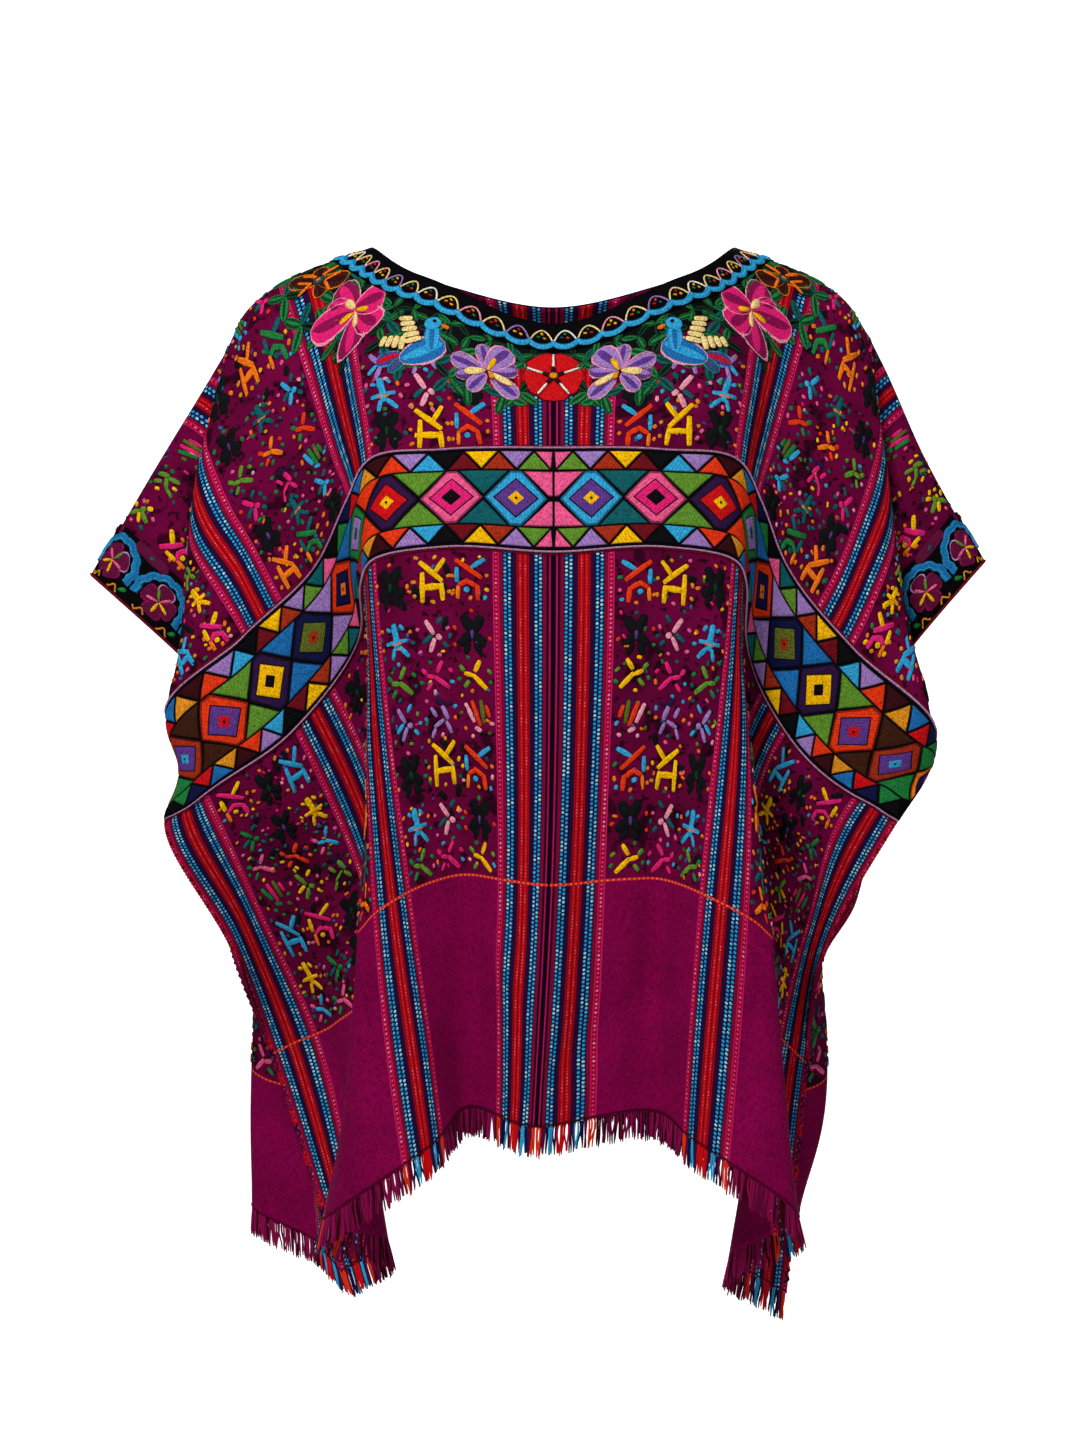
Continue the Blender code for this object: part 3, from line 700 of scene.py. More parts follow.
@dataclass(frozen=True)
class LoomCloth:
    """Hand-woven cotton with warp stripe groups, a brocade ground between them and a plain end by the hem."""

    ground: tuple = dye("72063f")
    ground_deep: tuple = dye("53042d")
    plain: tuple = dye("8a024b")
    thread: float = 0.9
    seam_stripe: float = 4.4
    red_row: float = 1.6
    cyan_rows: tuple[float, float] = (8.2, 10.9)
    chain_row: float = 16.6
    stripes: tuple = (
        (0.0, dye("b40c18")), (3.6, dye("4c0819")), (4.3, dye("2a0a36")), (6.7, dye("070a26")),
        (12.3, dye("780c31")), (14.6, dye("c4124e")), (15.5, dye("860a2c")), (17.7, dye("c81a5c")),
    )

    def dots(self, across: Wire, down: Wire, row: float, pitch: float, wide: float, tall: float) -> Wire:
        """One row of woven dots along the warp.

        Args:
            across: distance from the middle of the stripe group, mm.
            down: distance along the row, mm.
            row: where the row runs, mm across.
            pitch: distance between dots, mm.
            wide: half of a dot's width, mm.
            tall: half of a dot's length, mm.

        Returns:
            1 in a dot, 0 outside.
        """
        over = abs(across - row) / wide
        along = abs((down / pitch).fraction() - 0.5) * (pitch / tall)
        return (over * over + along * along).below(1.0, 0.5)

    def stripe_group(self, g: Graph, group: Wire, across: Wire, down: Wire) -> tuple[Wire, Wire]:
        """The warp stripes and their woven dots.

        Args:
            g: the material's nodes.
            group: distance from the middle of the nearest stripe group, mm.
            across: distance from the centre seam, mm.
            down: distance from the shoulder fold, mm.

        Returns:
            Their colour and their height.
        """
        inner, outer = self.cyan_rows
        pale = g.noise(190.0, 1.0).above(0.57, 0.15)
        past_seam = across.above(self.seam_stripe)
        stops = [(place / 20.0, colour) for place, colour in self.stripes]
        stripe = g.node("ShaderNodeValToRGB", {"stops": stops}, {0: group / 20.0})
        stripe = g.mix(across.below(self.seam_stripe), stripe, dye("26061f"))
        stripe = g.mix(across.near(2.2, 0.5, 0.3), stripe, dye("b8145f"))
        rows = group.near(inner, 1.0, 0.3).most(group.near(outer, 1.0, 0.3)) * past_seam
        stripe = g.mix(rows * 0.85, stripe, dye("0a2a58"))
        cyan = self.dots(group, down, inner, 2.6, 0.95, 0.85).most(
            self.dots(group, down + 1.2, outer, 2.6, 0.95, 0.85))
        stripe = g.mix(cyan * past_seam, stripe, g.mix(pale, dye("2b9ad6"), dye("9edcf2")))
        red = self.dots(group, down, self.red_row, 2.0, 0.5, 0.6)
        stripe = g.mix(red, stripe, g.mix(pale, dye("e0222c"), dye("f0566a")))
        rib = group.near(2.9, 0.3, 0.3).most(group.near(0.0, 0.35, 0.3))
        stripe = g.mix(rib * 0.8, stripe, dye("520510"))
        chain = self.dots(group, down, self.chain_row, 2.8, 0.75, 0.8)
        stripe = g.mix(chain * across.above(4.6), stripe, g.mix(pale, dye("ea2f72"), dye("f283b0")))
        return stripe, cyan * 1.4 + red * 0.7 + chain * 0.9

    def between(self, g: Graph, weave: Wire, down: Wire) -> Wire:
        """The colour between the stripe groups: the brocade ground, then the plain end.

        Args:
            g: the material's nodes.
            weave: the weave's own height.
            down: distance from the shoulder fold, mm.

        Returns:
            The colour.
        """
        uneven = g.noise(26.0, 3.0)
        ground = g.mix(uneven.above(0.5, 0.5), self.ground, self.ground_deep)
        ground = g.mix(g.noise(62.0, 2.0).above(0.6, 0.07) * 0.8, ground, dye("1c0412"))
        ground = g.mix(g.noise(240.0, 1.0).above(0.64, 0.06) * 0.8, ground, dye("0a0308"))
        plain = g.mix(uneven.above(0.5, 0.6), self.plain, dye("70023c"))
        plain = g.mix(weave.above(0.3, 0.8) * 0.3, plain, dye("9c0f5b"))
        plain = g.mix(g.noise(620.0, 1.0).above(0.6, 0.1) * 0.3, plain, dye("a80f5c"))
        plain = g.mix(g.noise(480.0, 1.0).above(0.6, 0.12) * 0.5, plain, dye("4f052e"))
        return g.mix(down.below(PLAIN_FROM), plain, ground)

    def material(self) -> bpy.types.Material:
        """Builds the cloth's material."""
        g = Graph("loom_cloth")
        u, v = g.flat_mm()
        across, down = abs(u), abs(v)
        weave = (u * (2 * math.pi / self.thread)).sine() * (v * (2 * math.pi / self.thread)).sine()
        fine = g.noise(900.0, 2.0)
        group = abs(across - GROUP_CENTRES[0])
        for centre in GROUP_CENTRES[1:]:
            group = group.least(abs(across - centre))
        stripe, dots = self.stripe_group(g, group, across, down)
        colour = g.mix(group.below(GROUP_REACH), self.between(g, weave, down), stripe)
        colour = g.mix((0.5 - fine).most(0.0) * 1.3, colour, dye("0a0206"))
        colour = g.mix(down.near(PLAIN_FROM, 0.9, 0.4), colour, dye("c4202a"))
        colour = g.mix(self.dots(down, across, PLAIN_FROM, 3.4, 0.55, 0.8), colour, dye("ee7434"))
        height = weave * 0.5 + dots + fine * 0.8
        return g.finish(colour, 0.82 + fine * 0.12, g.bump(height, 0.75, 0.0007), specular=0.02)


@dataclass(frozen=True)
class StitchedYarn:
    """Raised embroidery: each patch has its own colour, with threads that run along its flat map."""

    name: str = "stitched_yarn"
    thread: float = 0.55
    stitch: float = 1.9
    row: float = 1.2
    rough: float = 0.55
    strength: float = 0.5

    def material(self) -> bpy.types.Material:
        """Builds the yarn's material."""
        g = Graph(self.name)
        along, aside = g.flat_mm()
        colour = g.yarn()
        wander = g.noise(300.0, 1.0)
        threads = ((aside + wander * 0.5) * (2 * math.pi / self.thread)).sine()
        strand = g.noise(700.0, 2.0)
        rows = (aside * (2 * math.pi / self.row)).sine()
        gaps = (along * (2 * math.pi / self.stitch) + rows * 1.2).sine()
        # Painted shade: the yarn is darkened in the grooves between its threads and in the sunken gaps
        # between stitches
        dark = g.mix(0.82, colour, (0.0, 0.0, 0.0, 1))
        shade = g.mix((0.5 - threads * 0.5) * 0.3, colour, dark)
        shade = g.mix((gaps * rows - 0.15).most(0.0) * 0.75, shade, dark)
        shade = g.mix((0.52 - strand).most(0.0) * 2.4, shade, dark)
        shade = g.mix((strand - 0.54).most(0.0) * 1.6, shade, g.mix(0.7, colour, colour, "ADD"))
        height = threads * 0.3 + strand * 0.9 - gaps * rows * 0.7
        rough = self.rough + strand * 0.25
        return g.finish(shade, rough, g.bump(height, self.strength, 0.0005), specular=0.05)


@dataclass(frozen=True)
class PlainYarn:
    """Cords, edges and fringe: a twisted yarn in the piece's own colours."""

    name: str = "plain_yarn"
    twist: float = 1.1

    def material(self) -> bpy.types.Material:
        """Builds the yarn's material."""
        g = Graph(self.name)
        along, aside = g.flat_mm()
        colour = g.yarn()
        ply = ((along + aside * 0.8) * (2 * math.pi / self.twist)).sine()
        strand = g.noise(800.0, 2.0)
        # Painted shade: the yarn is darker in the grooves between the plies of its twist
        shade = g.mix((0.5 - ply * 0.5) * 0.5, colour, g.mix(0.6, colour, (0.0, 0.0, 0.0, 1)))
        return g.finish(shade, 0.7, g.bump(ply * 0.6 + strand * 0.8, 0.5, 0.0004), specular=0.03)


@dataclass(frozen=True)
class BlackCloth:
    """Plain black cotton of the neck ring, the armhole trims and the band's ground."""

    name: str = "black_cotton"
    base: tuple = dye("060507")
    lint: tuple = dye("17141a")
    thread: float = 0.8

    def material(self) -> bpy.types.Material:
        """Builds the cotton's material."""
        g = Graph(self.name)
        u, v = g.flat_mm()
        weave = (u * (2 * math.pi / self.thread)).sine() * (v * (2 * math.pi / self.thread)).sine()
        fuzz = g.noise(1100.0, 2.0)
        colour = g.mix((fuzz - 0.5).most(0.0) * 1.2, self.base, self.lint)
        return g.finish(colour, 0.85, g.bump(weave + fuzz, 0.5, 0.0004), specular=0.02)


# Meshes


@dataclass(frozen=True)
class Disc:
    """A flat round template of rings: the angle and ring of each point, and the faces with their ring."""

    angles: np.ndarray
    rings: np.ndarray
    faces: tuple[tuple[int, ...], ...]
    face_rings: np.ndarray

    @classmethod
    @lru_cache(maxsize=None)
    def spun(cls, around: int, rings: int) -> "Disc":
        """Spins one radial line of points into a disc that faces up.

        Args:
            around: points round each ring.
            rings: rings outside the middle point.

        Returns:
            The template.
        """
        bm = bmesh.new()
        line = [bm.verts.new((k, 0.0, 0.0)) for k in range(rings + 1)]
        edges = [bm.edges.new(pair) for pair in zip(line, line[1:])]
        bmesh.ops.spin(bm, geom=line + edges, cent=(0, 0, 0), axis=(0, 0, 1), angle=2 * math.pi, steps=around,
                       use_merge=True)
        bmesh.ops.remove_doubles(bm, verts=bm.verts[:], dist=1e-4)
        bm.normal_update()
        for face in bm.faces:
            if face.normal.z < 0:
                face.normal_flip()
        bm.verts.index_update()
        places = np.array([v.co[:] for v in bm.verts])
        faces = tuple(tuple(v.index for v in face.verts) for face in bm.faces)
        ring = np.rint(np.hypot(places[:, 0], places[:, 1])).astype(int)
        face_rings = np.array([max(ring[i] for i in ids) for ids in faces])
        bm.free()
        return cls(np.arctan2(places[:, 1], places[:, 0]), ring, faces, face_rings)


Outline = Callable[[np.ndarray], tuple[np.ndarray, np.ndarray, np.ndarray, np.ndarray]]


def capsule(length: float, wide: float) -> Outline:
    """A bar with round ends: edge x, edge y, and the spine's x, y for each angle."""
    half = max((length - wide) / 2, 0.0)

    def at(angle: np.ndarray) -> tuple[np.ndarray, ...]:
        """The outline at many angles."""
        spine = half * np.clip(np.cos(angle) * 2.2, -1, 1)
        return spine + wide / 2 * np.cos(angle), wide / 2 * np.sin(angle), spine, spine * 0

    return at


def petal(length: float, wide: float, point: float = 1.0, swell: float = 0.3) -> Outline:
    """A petal or leaf from its root at 0 to its tip along x; point above 1 sharpens its ends."""

    def at(angle: np.ndarray) -> tuple[np.ndarray, ...]:
        """The outline at many angles."""
        cos, sin = np.cos(angle), np.sin(angle)
        edge = np.sign(sin) * np.abs(sin) ** point * wide / 2 * (1 + swell * cos)
        x = length * (0.5 + 0.5 * cos)
        spine = length * (0.5 + 0.42 * cos)
        return x, edge, spine, spine * 0

    return at


def polygon(corners: Sequence[tuple[float, float]]) -> Outline:
    """A straight-sided patch round its middle, its corners turned the way the angle turns."""
    points = np.array(corners, float)
    after = np.roll(points, -1, axis=0)
    if (points[:, 0] * after[:, 1] - points[:, 1] * after[:, 0]).sum() < 0:
        points = points[::-1]
    middle = points.mean(axis=0)

    def at(angle: np.ndarray) -> tuple[np.ndarray, ...]:
        """The outline at many angles."""
        t = (angle % (2 * math.pi)) / (2 * math.pi) * len(points)
        i = np.floor(t + 1e-9).astype(int) % len(points)
        f = (t - np.floor(t + 1e-9))[:, None]
        edge = points[i] * (1 - f) + points[(i + 1) % len(points)] * f
        return edge[:, 0], edge[:, 1], middle[0] + 0 * angle, middle[1] + 0 * angle

    return at


@dataclass(frozen=True)
class Relief:
    """How a patch rises: a share of its size and a lift in mm for each ring from the middle out."""

    shares: tuple[float, ...]
    lifts: tuple[float, ...]
    rim: int = 0

    @property
    def rings(self) -> int:
        """Rings outside the middle point."""
        return len(self.shares) - 1


# Painted shade: the share of its colour that the outermost ring of a patch without a rim keeps
EDGE_SHADE = 0.3
STITCH = Relief((0.0, 0.58, 0.84, 1.0), (0.85, 0.8, 0.16, 0.06), rim=1)
KNOT = Relief((0.0, 0.8, 1.0), (0.85, 0.7, 0.06))
SATIN = Relief((0.0, 0.35, 0.7, 0.92, 1.0), (0.55, 0.55, 0.5, 0.42, 0.02))
EDGED = Relief((0.0, 0.3, 0.62, 0.84, 0.9, 1.0), (0.7, 0.8, 0.75, 0.5, 0.85, 0.1), rim=2)


@dataclass
class Needlework:
    """Patches and cords gathered on one face of the cloth, then made one piece."""

    drape: Drape
    face: Face
    base: float = 0.05
    flats: list = field(default_factory=list)
    faces: list = field(default_factory=list)
    maps: list = field(default_factory=list)
    yarns: list = field(default_factory=list)
    count: int = 0

    def patch(self, outline: Outline, relief: Relief, at: tuple[float, float], turn: float,
              yarns: Sequence[Yarn], around: int = 8, mirror: bool = False, lift: float = 0.0,
              grain: float = 0.0) -> None:
        """Lays one patch.

        Args:
            outline: its edge and spine by angle, mm.
            relief: how it rises, ring by ring.
            at: flat (u, v) of its own 0, mm.
            turn: how far x turns towards v, radians.
            yarns: its colour, then its rim's if it has one; a third is the middle's. The outermost ring of
            a patch without a rim is darkened, painted shade where it meets the cloth.
            around: points round it.
            mirror: whether it is flipped across.
            lift: extra lift, mm.
            grain: how far the threads turn from x, radians.
        """
        disc = Disc.spun(around, relief.rings)
        edge_x, edge_y, spine_x, spine_y = outline(disc.angles)
        share = np.array(relief.shares)[disc.rings]
        x, y = spine_x + (edge_x - spine_x) * share, spine_y + (edge_y - spine_y) * share
        centre = disc.rings == 0
        if centre.any():
            x[centre], y[centre] = np.mean(spine_x[~centre]), np.mean(spine_y[~centre])
        rise = np.array(relief.lifts)[disc.rings] + self.base + lift
        across = -x if mirror else x
        cos, sin = math.cos(turn), math.sin(turn) * (-1 if mirror else 1)
        u, v = at[0] + across * cos - y * sin, at[1] + across * sin + y * cos
        flip = (self.face is Face.FRONT) != mirror
        self.flats.append(np.stack([u, v, rise], axis=1))
        cg, sg = math.cos(grain), math.sin(grain)
        local = np.stack([x * cg + y * sg, y * cg - x * sg], axis=1) * MM
        colours = [yarn.value for yarn in yarns]
        for ids, ring in zip(disc.faces, disc.face_rings):
            ids = ids[::-1] if flip else ids
            self.faces.append([i + self.count for i in ids])
            rim = relief.rim and ring > relief.rings - relief.rim
            middle = len(colours) > 2 and ring <= 1
            tone = colours[1] if rim and len(colours) > 1 else colours[2] if middle else colours[0]
            # Painted shade round the patch's foot: its outermost ring is darkened
            if ring == relief.rings and not relief.rim:
                tone = tuple(c * EDGE_SHADE for c in tone[:3]) + (1.0,)
            self.yarns.append((tone, len(ids)))
            self.maps.append(local[list(ids)])
        self.count += len(x)

    def cord(self, us: np.ndarray, vs: np.ndarray, wide: float, high: float, yarn: Yarn,
             lift: float = 0.0) -> None:
        """Lays a half-round cord along flat places.

        Args:
            us: places across, mm.
            vs: places down, mm.
            wide: the cord's width, mm.
            high: its height, mm.
            yarn: its colour.
            lift: extra lift, mm.
        """
        bm = bmesh.new()
        bmesh.ops.create_grid(bm, x_segments=max(len(us) - 1, 1), y_segments=4, size=1.0)
        bm.verts.index_update()
        grid = np.array([v.co[:] for v in bm.verts])
        faces = [[v.index for v in f.verts] for f in bm.faces]
        bm.free()
        k = np.rint((grid[:, 0] + 1) / 2 * (len(us) - 1)).astype(int)
        du, dv = np.gradient(us), np.gradient(vs)
        size = np.maximum(np.hypot(du, dv), 1e-6)
        aside = grid[:, 1]
        u = us[k] - dv[k] / size[k] * aside * wide / 2
        v = vs[k] + du[k] / size[k] * aside * wide / 2
        rise = high * np.sqrt(np.clip(1 - aside**2, 0, 1)) + self.base + lift
        run = np.concatenate([[0], np.cumsum(np.hypot(np.diff(us), np.diff(vs)))])
        local = np.stack([run[k], aside * wide / 2], axis=1) * MM
        self.flats.append(np.stack([u, v, rise], axis=1))
        flip = self.face is Face.FRONT
        for ids in faces:
            ids = ids[::-1] if flip else ids
            self.faces.append([i + self.count for i in ids])
            self.yarns.append((yarn.value, len(ids)))
            self.maps.append(local[list(ids)])
        self.count += len(u)

    def piece(self, name: str, material: bpy.types.Material) -> bpy.types.Object:
        """Makes one object of everything laid, on the worn cloth.

        Args:
            name: the piece's name.
            material: its finish.

        Returns:
            The object.
        """
        flat = np.concatenate(self.flats)
        points = self.drape.place(self.face, flat[:, 0], flat[:, 1], flat[:, 2])
        mesh = bpy.data.meshes.new(name)
        mesh.from_pydata(points.tolist(), [], self.faces)
        uv = mesh.uv_layers.new(name="flat")
        uv.data.foreach_set("uv", np.concatenate(self.maps).ravel().astype(np.float32))
        attribute = mesh.color_attributes.new("yarn", "FLOAT_COLOR", "CORNER")
        colours = np.repeat(np.array([c for c, _ in self.yarns]), [n for _, n in self.yarns], axis=0)
        attribute.data.foreach_set("color", colours.ravel().astype(np.float32))
        mesh.materials.append(material)
        mesh.shade_smooth()
        obj = bpy.data.objects.new(name, mesh)
        bpy.context.scene.collection.objects.link(obj)
        return obj


def cloth_piece(name: str, rows: Iterable[tuple[Face, Callable, tuple[int, int]]], drape: Drape, lift: float,
                wall: float, material: bpy.types.Material) -> bpy.types.Object:
    """A thin shell of cloth from one or more flat grids, joined where they meet.

    Args:
        name: the piece's name.
        rows: for each grid its face, what turns shares (across, down) into flat u and v, and its segments.
        drape: the worn cloth.
        lift: distance of its outer face from the panel's outer face, mm.
        wall: its thickness, mm.
        material: its finish.

    Returns:
        The object, with a live Solidify modifier.
    """
    bm = bmesh.new()
    layer = bm.loops.layers.uv.new("flat")
    for face, flat, (nx, ny) in rows:
        part = bmesh.new()
        bmesh.ops.create_grid(part, x_segments=nx, y_segments=ny, size=0.5)
        part.verts.index_update()
        shares = np.array([v.co[:] for v in part.verts]) + 0.5
        u, v = flat(shares[:, 0], shares[:, 1])
        points = drape.place(face, u, v, lift)
        normals = drape.place(face, u, v, lift + 1.0) - points
        verts = [bm.verts.new(p) for p in points]
        lists = [[x.index for x in old.verts] for old in part.faces]
        first, second, third = (points[[ids[k] for ids in lists]] for k in range(3))
        facing = (np.cross(second - first, third - first) * normals[[ids[0] for ids in lists]]).sum()
        for ids in lists:
            ids = ids if facing > 0 else ids[::-1]
            new = bm.faces.new([verts[i] for i in ids])
            for loop, i in zip(new.loops, ids):
                loop[layer].uv = (u[i] * MM, (v[i] if face is Face.FRONT else -v[i]) * MM)
        part.free()
    bmesh.ops.remove_doubles(bm, verts=bm.verts[:], dist=2e-5)
    bm.normal_update()
    mesh = bpy.data.meshes.new(name)
    bm.to_mesh(mesh)
    bm.free()
    mesh.materials.append(material)
    mesh.shade_smooth()
    obj = bpy.data.objects.new(name, mesh)
    bpy.context.scene.collection.objects.link(obj)
    shell = obj.modifiers.new("wall", "SOLIDIFY")
    shell.thickness, shell.offset = wall * MM, -1.0
    return obj


# The cloth pieces


@dataclass
class Panels:
    """The two loom panels, each folded at the shoulder and sewn at its selvage below the armhole."""

    drape: Drape
    across: int = 112
    down: int = 172
    wall: float = 1.4

    def flat(self, face: Face, side: Side) -> Callable:
        """What turns grid shares into this panel's flat places, starting at the neck edge."""

        def at(a: np.ndarray, b: np.ndarray) -> tuple[np.ndarray, np.ndarray]:
            """Flat places."""
            u = side.value * (0.15 + (HALF_WIDTH - 0.15) * a)
            start = neck_v(face, u)
            return u, start + (LENGTH - start) * b

        return at

    def build(self, cloth: bpy.types.Material) -> dict[Side, bpy.types.Object]:
        """Makes both panels."""
        made = {}
        for side in Side:
            name = f"loom_panel_{side.word}"
            made[side] = cloth_piece(name, [(f, self.flat(f, side), (self.across, self.down)) for f in Face],
                                     self.drape, 0.0, self.wall, cloth)
            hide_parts(f"{side.word}_panel")
        return made


@dataclass
class NeckRing:
    """The black ring round the neck hole, with its scallops and its sky-blue wave."""

    drape: Drape
    wide: float = 23.0
    low: float = 0.6
    wall: float = 1.1
    turns: int = 60
    scallops: int = 26
    scallop_foot: float = 15.6
    scallop_rise: float = 8.6
    wave_line: float = 16.8
    wave_swing: float = 3.6

    def build(self, cotton: bpy.types.Material) -> bpy.types.Object:
        """Makes the ring."""

        def flat(face: Face, side: Side) -> Callable:
            """What turns grid shares into one quarter of the ring."""

            def at(a: np.ndarray, b: np.ndarray) -> tuple[np.ndarray, np.ndarray]:
                """Flat places."""
                u, v = ring_point(face, a * math.pi / 2, b * self.wide)
                return u * side.value, v

            return at

        parts = [(face, flat(face, side), (self.turns, 6)) for face in Face for side in Side]
        ring = cloth_piece("neck_ring", parts, self.drape, self.low + self.wall, self.wall, cotton)
        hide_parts("neck_trim")
        return ring

    def around(self, face: Face, turn: np.ndarray, grow: np.ndarray | float) -> tuple[np.ndarray, np.ndarray]:
        """Flat places round one face's half of the ring.

        Args:
            face: front or back.
            turn: from -1 to 1, evenly spaced along the ring.
            grow: distance out from the neck edge, mm.

        Returns:
            The places' u and v, mm.
        """
        fine = np.linspace(-math.pi / 2, math.pi / 2, 721)
        us, vs = ring_point(face, fine, self.wide / 2)
        run = np.concatenate([[0], np.cumsum(np.hypot(np.diff(us), np.diff(vs)))])
        angle = np.interp((np.asarray(turn) + 1) / 2 * run[-1], run, fine)
        return ring_point(face, angle, grow)

    def spot(self, face: Face, turn: float, grow: float) -> tuple[float, float]:
        """One flat place round the ring."""
        u, v = self.around(face, np.array([turn]), grow)
        return float(u[0]), float(v[0])

    def dress(self, face: Face, yarn: bpy.types.Material) -> bpy.types.Object:
        """Lays the scallops, their knots and the wave on one face."""
        work = Needlework(self.drape, face, base=self.low + self.wall)
        rims = (Y.CREAM, Y.WHITE, Y.CREAM, Y.ROSE, Y.CREAM, Y.LILAC)
        knots = (Y.YELLOW, Y.GREEN, Y.RED, Y.GOLD, Y.TEAL, Y.YELLOW, Y.VERMILION)
        step = 2 / self.scallops
        for k in range(self.scallops):
            t = np.linspace(0, 1, 9)
            turn = -1 + (k + 0.03 + 0.94 * t) * step
            grow = self.scallop_foot - self.scallop_rise * np.sin(np.pi * t) ** 0.8
            work.cord(*self.around(face, turn, grow), 1.0, 0.6, rims[k % len(rims)])
            for m, (dt, g) in enumerate(((0.36, 13.0), (0.62, 13.8), (0.5, 10.4))):
                tone = knots[(k * 3 + m * 2) % len(knots)]
                at = self.spot(face, -1 + (k + dt) * step, g)
                work.patch(capsule(2.3, 1.6), KNOT, at, 0.6 * m, [tone], 6)
        t = np.linspace(-1, 1, self.scallops * 8 + 1)
        wave = self.wave_line + self.wave_swing * np.abs(np.sin((t + 1) / step * math.pi)) ** 0.7
        work.cord(*self.around(face, t, wave), 3.9, 1.2, Y.SKY)
        work.cord(*self.around(face, t, wave - 1.3), 0.9, 1.25, Y.BLUE)
        return work.piece(f"neck_scallops_{face.value}", yarn)


